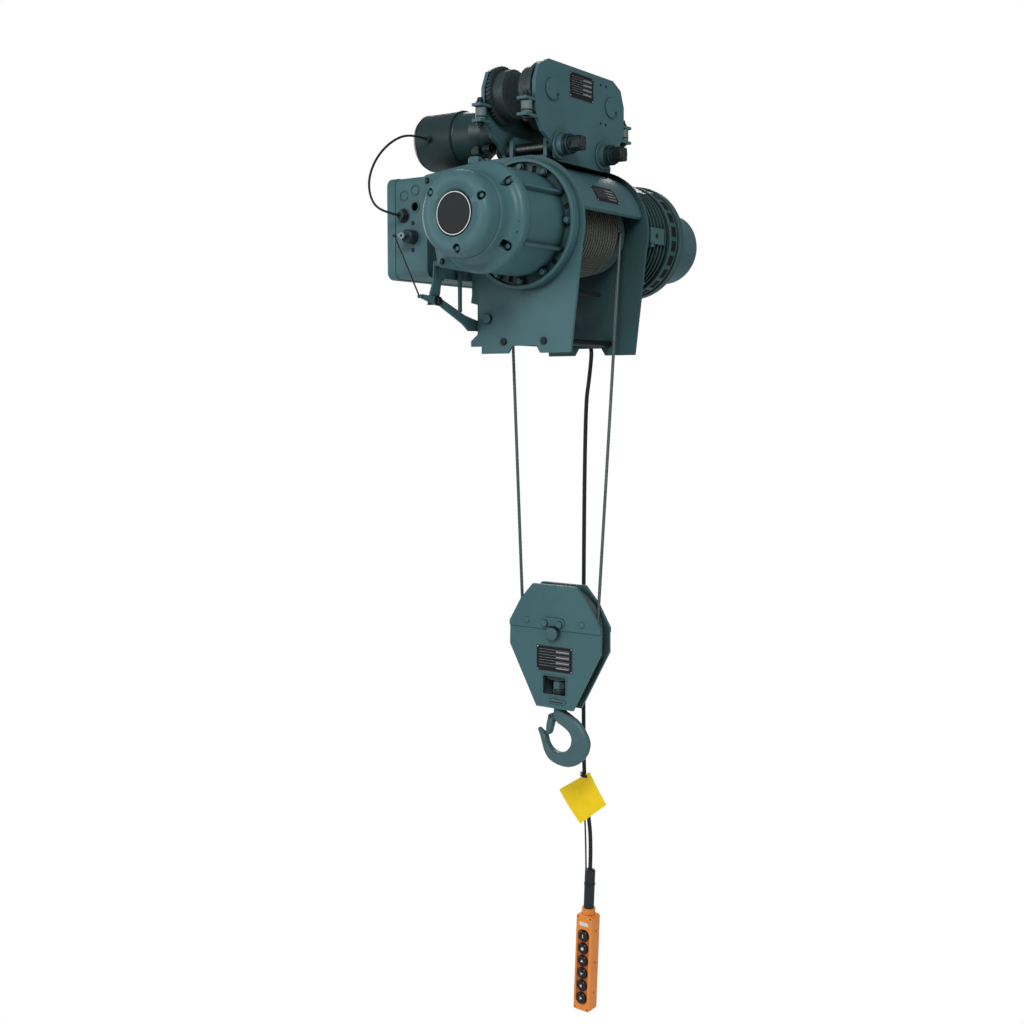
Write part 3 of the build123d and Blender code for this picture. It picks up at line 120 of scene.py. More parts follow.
def addBump(tree, shader, heights, strength, distance, edge=0.0):
    bump = tree.nodes.new("ShaderNodeBump")
    bump.inputs["Strength"].default_value = strength
    bump.inputs["Distance"].default_value = distance
    link(tree, heights, bump.inputs["Height"])
    if edge:
        # rounds the sharp edges of the plain solids in the shading
        bevel = tree.nodes.new("ShaderNodeBevel")
        bevel.samples = 4
        bevel.inputs["Radius"].default_value = edge
        link(tree, bevel.outputs["Normal"], bump.inputs["Normal"])
    link(tree, bump.outputs["Normal"], shader.inputs["Normal"])


def paintedCreviceShade(tree, colourSocket, reach, depth):
    # painted shade where surfaces meet: ambient occlusion darkens the base colour
    shadeOcclusion = tree.nodes.new("ShaderNodeAmbientOcclusion")
    shadeOcclusion.samples = 6
    shadeOcclusion.inputs["Distance"].default_value = reach
    ramp = rampNode(tree, shadeOcclusion.outputs["AO"], [(0.2, (depth,) * 3), (0.85, (1, 1, 1))])
    mix = tree.nodes.new("ShaderNodeMix")
    mix.data_type = "RGBA"
    mix.blend_type = "MULTIPLY"
    mix.inputs["Factor"].default_value = 1
    link(tree, colourSocket, mix.inputs["A"])
    link(tree, ramp.outputs["Color"], mix.inputs["B"])
    return mix.outputs["Result"]


def shaded(colour, share):
    return tuple(c * share for c in colour)


def paintFinish(name, colour, roughness=0.42, peel=0.25, cast=False, reach=0.09):
    # enamel over rolled steel or over a casting
    material, tree, shader = newMaterial(name)
    patches = noiseNode(tree, 5.0, 5.0, 0.6)
    ramp = rampNode(tree, patches.outputs["Fac"],
                    [(0.3, shaded(colour, 0.88)), (0.52, colour), (0.75, shaded(colour, 1.08))])
    link(tree, paintedCreviceShade(tree, ramp.outputs["Color"], reach, 0.1), shader.inputs["Base Color"])
    gloss = rampNode(tree, patches.outputs["Fac"],
                     [(0.25, (roughness + 0.08,) * 3), (0.8, (roughness - 0.06,) * 3)])
    link(tree, gloss.outputs["Color"], shader.inputs["Roughness"])
    grain = noiseNode(tree, 110.0 if cast else 240.0, 3.0, 0.5)
    addBump(tree, shader, grain.outputs["Fac"], peel, 0.0005 if cast else 0.0002, 0.003 if cast else 0.0016)
    shader.inputs["Specular IOR Level"].default_value = 0.26
    return material


def metalFinish(name, colour, roughness=0.35, metallic=1.0, grainScale=90.0):
    material, tree, shader = newMaterial(name)
    patches = noiseNode(tree, grainScale, 6.0, 0.65)
    ramp = rampNode(tree, patches.outputs["Fac"], [(0.3, shaded(colour, 0.7)), (0.7, shaded(colour, 1.12))])
    link(tree, paintedCreviceShade(tree, ramp.outputs["Color"], 0.02, 0.3), shader.inputs["Base Color"])
    gloss = rampNode(tree, patches.outputs["Fac"],
                     [(0.3, (roughness + 0.12,) * 3), (0.7, (roughness - 0.06,) * 3)])
    link(tree, gloss.outputs["Color"], shader.inputs["Roughness"])
    shader.inputs["Metallic"].default_value = metallic
    addBump(tree, shader, patches.outputs["Fac"], 0.2, 0.0003, 0.0012)
    return material


def plasticFinish(name, colour, roughness=0.4, grain=0.12):
    material, tree, shader = newMaterial(name)
    patches = noiseNode(tree, 22.0, 3.0)
    ramp = rampNode(tree, patches.outputs["Fac"],
                    [(0.3, shaded(colour, 0.93)), (0.7, shaded(colour, 1.04))])
    link(tree, paintedCreviceShade(tree, ramp.outputs["Color"], 0.01, 0.4), shader.inputs["Base Color"])
    shader.inputs["Roughness"].default_value = roughness
    texture = noiseNode(tree, 900.0, 2.0)
    addBump(tree, shader, texture.outputs["Fac"], grain, 0.0002, 0.001)
    shader.inputs["Specular IOR Level"].default_value = 0.3
    return material


def mathNode(tree, operation, *values):
    # values are numbers or sockets
    node = tree.nodes.new("ShaderNodeMath")
    node.operation = operation
    for entry, value in zip(node.inputs, values):
        if isinstance(value, float):
            entry.default_value = value
        else:
            link(tree, value, entry)
    return node


def ropeFinish(name, colour, dark=0.22, light=1.9):
    # u counts strand crossings along the rope, v runs once round it
    material, tree, shader = newMaterial(name)
    place = tree.nodes.new("ShaderNodeTexCoord")
    split = tree.nodes.new("ShaderNodeSeparateXYZ")
    link(tree, place.outputs["UV"], split.inputs["Vector"])
    turns = mathNode(tree, "MULTIPLY_ADD", split.outputs["Y"], 6.0, split.outputs["X"])
    angle = mathNode(tree, "MULTIPLY", turns.outputs["Value"], 2 * pi)
    strand = mathNode(tree, "COSINE", angle.outputs["Value"])
    share = tree.nodes.new("ShaderNodeMapRange")
    share.inputs["From Min"].default_value = -1
    link(tree, strand.outputs["Value"], share.inputs["Value"])
    grease = noiseNode(tree, 160.0, 4.0, 0.7)
    both = tree.nodes.new("ShaderNodeMix")
    both.data_type = "FLOAT"
    both.inputs["Factor"].default_value = 0.3
    link(tree, share.outputs["Result"], both.inputs["A"])
    link(tree, grease.outputs["Fac"], both.inputs["B"])
    # painted shade in the strand gaps and painted highlight on the strand crowns, mixed with grease patches
    ramp = rampNode(tree, both.outputs["Result"],
                    [(0.25, shaded(colour, dark)), (0.55, colour), (0.85, shaded(colour, light))])
    link(tree, paintedCreviceShade(tree, ramp.outputs["Color"], 0.012, 0.04), shader.inputs["Base Color"])
    shader.inputs["Metallic"].default_value = 0.35
    shader.inputs["Roughness"].default_value = 0.45
    addBump(tree, shader, share.outputs["Result"], 0.6, 0.0006)
    return material


finishes = {
    "paint": paintFinish("hoistPaint", (0.058, 0.138, 0.152)),
    "castPaint": paintFinish("castPaint", (0.058, 0.138, 0.152), 0.4, 0.4, True, 0.05),
    # darker copy of the hoist paint with a long occlusion reach: painted shade for parts that sit in shadow
    "shadePaint": paintFinish("shadedPaint", (0.04, 0.096, 0.104), 0.45, 0.25, False, 0.4),
    "darkPaint": paintFinish("motorPaint", (0.018, 0.04, 0.043), 0.4),
    "hookPaint": paintFinish("hookPaint", (0.066, 0.132, 0.145), 0.36, 0.3, True),
    "steel": metalFinish("oiledSteel", (0.1, 0.12, 0.12), 0.38),
    "darkSteel": metalFinish("blackenedSteel", (0.016, 0.022, 0.024), 0.42, 0.6),
    "bright": metalFinish("brightSteel", (0.55, 0.57, 0.56), 0.3),
    "strip": metalFinish("zincStrip", (0.27, 0.34, 0.36), 0.42, 0.5),
    "iron": metalFinish("wheelIron", (0.05, 0.075, 0.08), 0.5, 0.5),
    "drumIron": metalFinish("drumIron", (0.085, 0.15, 0.155), 0.45, 0.2),
    "bronze": metalFinish("bearingBronze", (0.35, 0.22, 0.09), 0.4),
    "rope": ropeFinish("wireRope", (0.066, 0.07, 0.055), 0.12, 3.2),
    "fallRope": ropeFinish("wireRopeFall", (0.055, 0.072, 0.074), 0.2, 3.4),
    "rubber": plasticFinish("cableSheath", (0.009, 0.011, 0.012), 0.42),
    "sleeve": plasticFinish("softSleeve", (0.014, 0.022, 0.025), 0.5),
    "blackPlastic": plasticFinish("blackMoulding", (0.01, 0.012, 0.013), 0.38),
    "greyRubber": plasticFinish("bufferRubber", (0.12, 0.17, 0.165), 0.55),
    "orange": plasticFinish("orangeMoulding", (0.86, 0.27, 0.045), 0.36),
    "recess": plasticFinish("orangeRecess", (0.5, 0.13, 0.022), 0.42),
    "button": plasticFinish("buttonBlack", (0.016, 0.012, 0.012), 0.3),
    "mark": plasticFinish("printWhite", (0.72, 0.72, 0.7), 0.45),
    "plateBlack": plasticFinish("plateBlack", (0.006, 0.007, 0.008), 0.55, 0.03),
    "plateRim": metalFinish("plateRim", (0.1, 0.12, 0.12), 0.4, 0.5),
    "plateGrey": plasticFinish("plateGrey", (0.34, 0.37, 0.37), 0.5, 0.03),
    "badgeGrey": plasticFinish("badgeGrey", (0.012, 0.015, 0.017), 0.55, 0.03),
    "card": plasticFinish("yellowCard", (0.98, 0.68, 0.006), 0.6, 0.03),
    "screwRed": metalFinish("screwSteel", (0.2, 0.03, 0.02), 0.5, 0.3),
    # near-black standing in for the shade inside holes, slots, pockets and windows: painted shade
    "hole": plasticFinish("holeShadeBlack", (0.002, 0.006, 0.008), 0.9, 0.02),
}

nodeFinish = {
    "paint": ["trolley_plate_near", "trolley_plate_far", "hanger_bracket", "frame_plate_front",
              "top_cover", "control_box", "control_box_cover", "arm_bracket",
              "block_plates", "sheave_guards", "limit_arm"],
    "shadePaint": ["frame_plate_rear"],
    "castPaint": ["gearbox_housing", "gearbox_cover", "gearbox_cap", "motor_housing", "motor_end_cover",
                  "trolley_gearbox"],
    "darkPaint": ["trolley_motor", "rope_anchor", "shaft_collars", "limit_switch"],
    "hookPaint": ["hook", "crosshead", "hook_nut", "hook_latch", "sheave_pin"],
    "steel": ["suspension_shafts", "layshaft_first", "layshaft_second", "motor_rotor",
              "drive_gear", "gearbox_bolts"],
    "iron": ["wheel_near_front", "wheel_near_rear", "wheel_far_front", "wheel_far_rear", "sheave",
             "motor_stator"],
    "drumIron": ["drum"],
    "bronze": ["drum_bearings"],
    "rope": ["wound_rope"],
    "fallRope": ["rope_fall_drum", "rope_fall_anchor", "rope_loop"],
    "darkSteel": ["limit_rod", "tie_rods"],
    "strip": ["switch_lever"],
    "greyRubber": ["side_buffers"],
    "sleeve": ["pendant_sleeve"],
    "orange": ["pendant_shell", "pendant_back"],
    "button": [f"button_{k}" for k in range(1, 7)],
    "rubber": ["pendant_cable", "motor_cable"],
}
for finish, names in nodeFinish.items():
    for name in names:
        nodes[name].data.materials.clear()
        nodes[name].data.materials.append(finishes[finish])
print("finishes made")


def addMesh(name, points, faces, finish, body="hoist", smoothTo=32):
    mesh = bpy.data.meshes.new(name)
    mesh.from_pydata([tuple(p) for p in points], [], faces)
    mesh.validate()
    shape = bmesh.new()
    shape.from_mesh(mesh)
    bmesh.ops.recalc_face_normals(shape, faces=shape.faces)
    shape.to_mesh(mesh)
    shape.free()
    mesh.materials.append(finishes[finish])
    piece = bpy.data.objects.new(name, mesh)
    scene.collection.objects.link(piece)
    if smoothTo:
        mesh.shade_smooth()
        mesh.set_sharp_from_angle(angle=radians(smoothTo))
    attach(piece, body)
    return piece


def carve(piece, cutters):
    # cuts the cutters out of a piece, throws them away and shades the result anew
    for cutter in cutters:
        cut = piece.modifiers.new("cut", "BOOLEAN")
        cut.object = cutter
        cut.solver = "EXACT"
    bpy.context.view_layer.update()
    cutMesh = bpy.data.meshes.new_from_object(piece.evaluated_get(bpy.context.evaluated_depsgraph_get()))
    piece.modifiers.clear()
    piece.data = cutMesh
    piece.data.shade_smooth()
    piece.data.set_sharp_from_angle(angle=radians(28))
    for cutter in cutters:
        bpy.data.objects.remove(cutter)


def copyOf(node, name, finish):
    # a copy of a CAD node's mesh, to be worked on and put in its place
    piece = bpy.data.objects.new(name, nodes[node].data.copy())
    piece.matrix_world = nodes[node].matrix_world
    scene.collection.objects.link(piece)
    piece.data.materials.clear()
    piece.data.materials.append(finishes[finish])
    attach(piece, "hoist")
    return piece


def softenEdges(piece, width, segments=2, limit=35):
    bevel = piece.modifiers.new("softEdges", "BEVEL")
    bevel.width = width
    bevel.segments = segments
    bevel.limit_method = "ANGLE"
    bevel.angle_limit = radians(limit)
    return piece


def basis(along):
    # two directions across a given one
    along = Vector(along).normalized()
    side = along.cross(Vector((0, 0, 1)) if abs(along.z) < 0.9 else Vector((1, 0, 0))).normalized()
    return along, side, along.cross(side)


def lathe(name, profile, centre, along, finish, body="hoist", steps=96, smoothTo=32):
    # profile holds (distance along, radius) pairs and closes where it meets the axis
    along, side, across = basis(along)
    centre = Vector(centre)
    points, faces, rings = [], [], []
    for distance, radius in profile:
        if radius < 1e-6:
            rings.append([len(points)])
            points.append(centre + along * distance)
            continue
        rings.append(list(range(len(points), len(points) + steps)))
        for k in range(steps):
            turn = 2 * pi * k / steps
            points.append(centre + along * distance + (side * cos(turn) + across * sin(turn)) * radius)
    closed = len(rings[0]) > 1 and len(rings[-1]) > 1
    pairs = list(zip(rings, rings[1:])) + ([(rings[-1], rings[0])] if closed else [])
    for near, far in pairs:
        for k in range(steps):
            n = (k + 1) % steps
            if len(near) == 1 and len(far) == 1:
                continue
            if len(near) == 1:
                faces.append((near[0], far[k], far[n]))
            elif len(far) == 1:
                faces.append((near[k], far[0], near[n]))
            else:
                faces.append((near[k], near[n], far[n], far[k]))
    return addMesh(name, points, faces, finish, body, smoothTo)


def prism(name, outline, origin, right, up, depth, finish, body="hoist", slot=None, edge=0.0):
    # the outline is in (right, up) metres and is pushed along right x up
    right, up, origin = Vector(right), Vector(up), Vector(origin)
    out = right.cross(up)
    count = len(outline)
    points = [origin + right * u + up * v for u, v in outline]
    points += [p + out * depth for p in points]
    faces = [tuple(range(count))[::-1], tuple(range(count, 2 * count))]
    faces += [(k, (k + 1) % count, count + (k + 1) % count, count + k) for k in range(count)]
    piece = addMesh(name, points, faces, finish, body)
    if edge:
        softenEdges(piece, edge)
    return piece


def roundedBox(width, height, corner, steps=6):
    outline = []
    for cornerX, cornerY, first in ((1, 1, 0), (-1, 1, 90), (-1, -1, 180), (1, -1, 270)):
        for k in range(steps + 1):
            turn = radians(first + 90 * k / steps)
            outline.append((cornerX * (width / 2 - corner) + corner * cos(turn),
                            cornerY * (height / 2 - corner) + corner * sin(turn)))
    return outline


def aroundCircle(radius, turns):
    # points at these turns, in degrees
    return [(radius * cos(radians(turn)), radius * sin(radians(turn))) for turn in turns]


def hexBolt(name, place, out, flats, height, finish="castPaint", body="hoist", washer=0.0):
    # hex head with a chamfered crown, its underside at place
    out, side, across = basis(out)
    place = Vector(place)
    corner = flats / 2 / cos(pi / 6)
    points, faces = [], []
    for distance, radius in ((0, corner), (height * 0.82, corner), (height, flats * 0.46)):
        for k in range(6):
            turn = pi / 3 * k + 0.2
            reach = (side * cos(turn) + across * sin(turn)) * radius
            points.append(place + out * (distance + washer) + reach)
    for ring in range(2):
        for k in range(6):
            n = (k + 1) % 6
            faces.append((ring * 6 + k, ring * 6 + n, ring * 6 + 6 + n, ring * 6 + 6 + k))
    faces.append(tuple(range(12, 18)))
    faces.append(tuple(range(6))[::-1])
    head = addMesh(name, points, faces, finish, body, 20)
    softenEdges(head, flats * 0.03, 1, 20)
    if washer:
        ring = lathe(name + "Washer", [(0, flats * 0.3), (0, corner * 1.22), (washer * 0.7, corner * 1.22),
                                       (washer, corner * 1.15), (washer, flats * 0.3)],
                     place, out, finish, body, 32)
        ring.parent = head
        ring.matrix_parent_inverse = head.matrix_world.inverted()
    return head


def tubeFaces(rings, around):
    # quads between rings of points, and a face over each end
    faces = []
    for first in range(0, (rings - 1) * around, around):
        for k in range(around):
            n = (k + 1) % around
            faces.append((first + k, first + n, first + around + n, first + around + k))
    last = (rings - 1) * around
    return faces + [tuple(range(around))[::-1], tuple(range(last, last + around))]


def ropeAlong(name, centres, radius, layLength, finish, body, strands=6, around=24):
    # stranded rope through evenly spaced centres
    centres = [Vector(c) for c in centres]
    points, runs = [], [0.0]
    for before, after in zip(centres, centres[1:]):
        runs.append(runs[-1] + (after - before).length)
    forward = (centres[1] - centres[0]).normalized()
    _, side, _ = basis(forward)
    for index, centre in enumerate(centres):
        ahead = centres[min(index + 1, len(centres) - 1)] - centres[max(index - 1, 0)]
        ahead.normalize()
        side = (side - ahead * side.dot(ahead)).normalized()
        across = ahead.cross(side)
        twist = 2 * pi * runs[index] / layLength
        for k in range(around):
            turn = 2 * pi * k / around
            lobe = abs(cos(strands / 2 * (turn - twist)))
            reach = radius * (0.82 + 0.18 * lobe ** 0.6)
            points.append(centre + (side * cos(turn) + across * sin(turn)) * reach)
    piece = addMesh(name, points, tubeFaces(len(centres), around), finish, body, smoothTo=0)
    piece.data.shade_smooth()
    uvs = piece.data.uv_layers.new(name="strands")
    for polygon in piece.data.polygons:
        places = {v % around for v in polygon.vertices}
        wraps = 0 in places and around - 1 in places
        for loop in polygon.loop_indices:
            ring, k = divmod(piece.data.loops[loop].vertex_index, around)
            share = 1.0 if wraps and k == 0 else k / around
            uvs.data[loop].uv = (-strands * runs[ring] / layLength, share)
    return piece


def straight(start, end, step):
    start, end = Vector(start), Vector(end)
    count = max(2, int((end - start).length / step))
    return [start.lerp(end, k / count) for k in range(count + 1)]


def cordCurve(name, points, diameter, finish, body):
    curve = bpy.data.curves.new(name, "CURVE")
    curve.dimensions = "3D"
    curve.resolution_u = 12
    curve.bevel_depth = diameter / 2
    curve.bevel_resolution = 8
    curve.use_fill_caps = True
    line = curve.splines.new("NURBS")
    line.points.add(len(points) - 1)
    for spot, point in zip(line.points, points):
        spot.co = (*point, 1)
    line.order_u = 3
    line.use_endpoint_u = True
    curve.materials.append(finishes[finish])
    piece = bpy.data.objects.new(name, curve)
    scene.collection.objects.link(piece)
    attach(piece, body)
    return piece


pendant = {
    "cable": 0.013,
    "length": 2.211,
    "points": [(0.06, 0.3, -0.463), (0.06, 0.3, -0.545), (0.14, 0.285, -0.602),
               (0.236, 0.236, -0.6), (0.258, 0.125, -0.577), (0.236, 0.012, -0.612),
               (0.218, 0.01, -0.72), (0.214, 0.027, -0.84), (0.214, 0.027, -2.005),
               (0.211, 0.006, -2.125), (0.207, -0.01098, -2.23016), (0.207, -0.007497, -2.3251)],
}
pendantCable = cordCurve("pendantCable", pendant["points"], pendant["cable"], "rubber", "hoist")
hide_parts("pendant_cable")

motorLead = {
    "cable": 0.007,
    "length": 0.458,
    "points": [(-0.18, 0.35, -0.013), (-0.245, 0.356, -0.006), (-0.312, 0.372, -0.034),
               (-0.368, 0.388, -0.092), (-0.4, 0.392, -0.165), (-0.412, 0.362, -0.235),
               (-0.385, 0.322, -0.259), (-0.3516, 0.312, -0.261)],
}
motorCable = cordCurve("motorLead", motorLead["points"], motorLead["cable"], "rubber", "hoist")
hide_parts("motor_cable")
print("cords run")

# wire rope: from the drum down round the sheave and up to the anchor
rope = {
    "radius": 0.005,
    "lay": 0.074,      # length in which a strand goes once round
    "pitch": 0.0135,
    "drumPitchRadius": 0.126,
    "sheaveRadius": 0.137,
    "axisZ": -0.292,
    "blockX": 0.033,
    "blockZ": -1.52,
    "drumTop": (0.172, -0.127, -0.292),
    "anchorTop": (-0.025, 0.137, -0.613),
    "travel": 0.65,      # the hook's full lift
}
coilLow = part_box("wound_rope")[0].x + rope["radius"]
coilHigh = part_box("wound_rope")[1].x - rope["radius"]
ringsPerTurn = 120
coilCentres = []
for k in range(int((coilHigh - coilLow) / rope["pitch"] * ringsPerTurn) + 1):
    turn = 2 * pi * k / ringsPerTurn
    coilCentres.append((coilHigh - rope["pitch"] * k / ringsPerTurn,
                        -rope["drumPitchRadius"] * cos(turn),
                        rope["axisZ"] + rope["drumPitchRadius"] * sin(turn)))
coil = ropeAlong("coiledRope", coilCentres, rope["radius"] * 0.99, rope["lay"], "rope", "drum", around=16)
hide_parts("wound_rope")

for name, node, top, side in (
        ("drumFall", "rope_fall_drum", rope["drumTop"], -1),
        ("anchorFall", "rope_fall_anchor", rope["anchorTop"], 1)):
    low = (rope["blockX"], side * rope["sheaveRadius"], rope["blockZ"])
    fall = ropeAlong(name, straight(top, low, 0.004), rope["radius"], rope["lay"], "fallRope", "hoist")
    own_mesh(fall)
    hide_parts(node)

loopCentres = [(rope["blockX"], -rope["sheaveRadius"] * cos(pi * k / 90),
                rope["blockZ"] - rope["sheaveRadius"] * sin(pi * k / 90)) for k in range(91)]
ropeLoop = ropeAlong("ropeLoop", loopCentres, rope["radius"], rope["lay"], "fallRope", "hook_block")
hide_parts("rope_loop")

# plain grooves show between the turns and on the drum's free end
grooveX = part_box("wound_rope")[0].x
grooveProfile = [(grooveX, 0.1206)]
while grooveX < rope["drumTop"][0]:
    grooveProfile += [(grooveX + rope["pitch"] / 2, 0.1225), (grooveX + rope["pitch"], 0.1212)]
    grooveX += rope["pitch"]
grooveProfile.append((grooveX + 0.001, 0.1206))
lathe("drumGrooves", grooveProfile, (0, 0, rope["axisZ"]), (1, 0, 0), "drumIron", "drum")
print("rope laid")


# right and up on faces that look along -X and along -Y
towardFront = (0, -1, 0), (0, 0, 1)
towardNear = (1, 0, 0), (0, 0, 1)


def stud(name, place, out, radius, height, finish, body="hoist"):
    # domed rivet or screw head
    profile = [(-0.0005, 0), (-0.0005, radius), (height * 0.45, radius * 0.95),
               (height * 0.8, radius * 0.7), (height * 0.96, radius * 0.35), (height, 0)]
    return lathe(name, profile, place, out, finish, body, 28, 50)


def slabs(name, surface, rects, low, high, finish, body, steps=6):
    # thin slabs that follow a surface; surface(u, v, lift) gives a point
    points, faces = [], []
    for left, right, bottom, top in rects:
        first = len(points)
        for lift in (low, high):
            for j in range(steps + 1):
                height = bottom + (top - bottom) * j / steps
                points += [surface(left, height, lift), surface(right, height, lift)]
        layer = 2 * (steps + 1)
        for j in range(steps):
            a = first + 2 * j
            faces += [(a, a + 2, a + 3, a + 1), (a + layer, a + layer + 1, a + layer + 3, a + layer + 2),
                      (a, a + layer, a + layer + 2, a + 2), (a + 1, a + 3, a + layer + 3, a + layer + 1)]
        end = first + 2 * steps
        faces += [(first, first + 1, first + layer + 1, first + layer),
                  (end, end + layer, end + layer + 1, end + 1)]
    addMesh(name, points, faces, finish, body, smoothTo=30)


def blankPlate(name, surface, width, height, body, rows, out):
    # black plate with a pale rim, empty ruled fields and a rivet in each corner
    halfW, halfH = width / 2, height / 2
    slabs(name + "Rim", surface, [(-halfW, halfW, -halfH, halfH)], -0.0002, 0.0008, "plateRim", body)
    inset = 0.0016
    slabs(name, surface, [(-halfW + inset, halfW - inset, -halfH + inset, halfH - inset)], 0.0008, 0.0013,
          "plateBlack", body)
    rowHeight = (height - 0.02) / rows
    fields = []
    for row in range(rows):
        top = halfH - 0.011 - row * rowHeight
        fields.append((-halfW + 0.01, halfW - 0.01, top - rowHeight * 0.1, top))
        if row % 2 == 0:
            fields.append((halfW * 0.1, halfW - 0.012, top - rowHeight * 0.82, top - rowHeight * 0.42))
    slabs(name + "Fields", surface, fields, 0.0013, 0.0016, "plateGrey", body, steps=2)
    for k, (u, v) in enumerate(((-1, -1), (1, -1), (1, 1), (-1, 1))):
        spot = surface(u * (halfW - 0.0045), v * (halfH - 0.0045), 0.0012)
        stud(f"{name}Rivet{k}", spot, out, 0.0022, 0.0012, "bright", body)


def flatSurface(centre, right, up):
    centre, right, up = Vector(centre), Vector(right), Vector(up)
    out = right.cross(up)
    return lambda u, v, lift: centre + right * u + up * v + out * lift


def smoothRun(rows, steps):
    # a smooth curve through the rows, steps points to each gap
    run = []
    for k in range(len(rows) - 1):
        four = rows[max(k - 1, 0)], rows[k], rows[k + 1], rows[min(k + 2, len(rows) - 1)]
        for step in range(steps):
            t = step / steps
            run.append(tuple(0.5 * (2 * b + (c - a) * t + (2 * a - 5 * b + 4 * c - d) * t * t +
                                    (3 * b - a - 3 * c + d) * t ** 3) for a, b, c, d in zip(*four)))
    run.append(tuple(rows[-1]))
    return run


# hook block: rivets, axle keeper, blank plate, lip and what shows through the window
block = {
    "plateX": 0.005,       # outer face of the front plate
    "guardX": 0.001,       # outer faces of the two sheave guards
    "backX": 0.065,
    "z": -1.52,
    "rivets": [(0.102, 0.033), (-0.102, 0.035)],
    "keeperNubs": [(0.03, 0.03), (-0.024, 0.03)],
    "plateSize": (0.133, 0.08),
    "plateMid": (0.0, -0.081),
    "lip": (-0.01, -0.2135, 0.064, 0.013),      # y, z, length, height
    "windowZ": -0.164,
}
keeperOutline = [(-0.04, 0.022), (0.027, 0.022)]
keeperOutline += [(0.027 + u, 0.035 + v) for u, v in aroundCircle(0.013, range(-75, 90, 15))]
keeperOutline += [(0.02, 0.049), (-0.034, 0.049), (-0.04, 0.044)]
for sideName, out, guardFace, right in (
        ("Front", (-1, 0, 0), block["guardX"], (0, -1, 0)),
        ("Back", (1, 0, 0), block["backX"], (0, 1, 0))):
    for k, (y, z) in enumerate(block["rivets"]):
        stud(f"guardRivet{sideName}{k}", (guardFace, y, block["z"] + z), out, 0.01, 0.005, "paint",
             "hook_block")
    prism(f"keeper{sideName}", keeperOutline, (guardFace, 0, block["z"]), right, (0, 0, 1), 0.004,
          "paint", "hook_block", edge=0.0012)
    for k, (y, z) in enumerate(block["keeperNubs"]):
        lathe(f"keeperBolt{sideName}{k}",
              [(0.0035, 0), (0.0035, 0.01), (0.01, 0.01), (0.0115, 0.0085), (0.0115, 0)],
              (guardFace, y, block["z"] + z), out, "paint", "hook_block", steps=32)
    lathe(f"pinHead{sideName}",
          [(0.001, 0), (0.001, 0.0195), (0.014, 0.0195), (0.0165, 0.0172), (0.0172, 0.015), (0.0168, 0)],
          (guardFace, 0, block["z"]), out, "hookPaint", "hook_block", steps=56)
plateY, plateZ = block["plateMid"]
blankPlate("blockPlate", flatSurface((block["plateX"], plateY, block["z"] + plateZ), *towardFront),
           *block["plateSize"], "hook_block", 7, (-1, 0, 0))
lipY, lipZ, lipLong, lipHigh = block["lip"]
prism("blockLip", roundedBox(lipLong, lipHigh, lipHigh * 0.45),
      (block["plateX"], lipY, block["z"] + lipZ), *towardFront, 0.005, "paint", "hook_block", edge=0.0018)
# the lip's pocket is a thin dark patch: painted shade of a recess
prism("blockLipPocketShade", roundedBox(lipLong * 0.8, lipHigh * 0.3, lipHigh * 0.14),
      (block["plateX"] - 0.0049, lipY, block["z"] + lipZ - 0.001), *towardFront, 0.0004, "darkPaint",
      "hook_block", "hoist_paint")

# frame round the window
windowRing = roundedBox(0.09, 0.064, 0.007)
windowHole = roundedBox(0.083, 0.057, 0.004)
points, faces = [], []
for depth in (0, 0.0016):
    for ring in (windowRing, windowHole):
        points += [(block["plateX"] - depth, -u, block["z"] + block["windowZ"] + v) for u, v in ring]
count = len(windowRing)
for k in range(count):
    n = (k + 1) % count
    faces += [(2 * count + k, 2 * count + n, 3 * count + n, 3 * count + k),
              (k, n, 2 * count + n, 2 * count + k),
              (count + k, count + n, 3 * count + n, 3 * count + k)]
addMesh("windowEdge", points, faces, "paint", "hook_block", smoothTo=30)

# dark sheet that closes the far window from inside, in the shaded paint: painted shade that hides the light
# beyond
prism("windowShadeBacking", windowHole, (0.0575, 0, block["z"] + block["windowZ"]), *towardFront, 0.0015,
      "shadePaint", "hook_block")

# nut, bearing and rounded shank end, seen through the window
shankX = rope["blockX"]
lathe("thrustBearing",
      [(-1.7165, 0.0155), (-1.7165, 0.0192), (-1.708, 0.0192), (-1.7075, 0.018), (-1.7055, 0.018),
       (-1.705, 0.0192), (-1.699, 0.0192), (-1.6985, 0.0155)], (shankX, 0, 0), (0, 0, 1), "steel", "hook",
      steps=56)
nutOutline = aroundCircle(0.0172 / cos(pi / 6), range(30, 390, 60))
hookNut = prism("hookNut", nutOutline, (shankX, 0, -1.6982), (1, 0, 0), (0, 1, 0), 0.024, "hookPaint",
                "hook", "shaft_steel", edge=0.0012)
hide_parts("hook_nut")
lathe("shankEnd",
      [(-1.6745, 0), (-1.6745, 0.015), (-1.667, 0.015), (-1.664, 0.013), (-1.6625, 0.008), (-1.662, 0)],
      (shankX, 0, 0), (0, 0, 1), "hookPaint", "hook", steps=48)

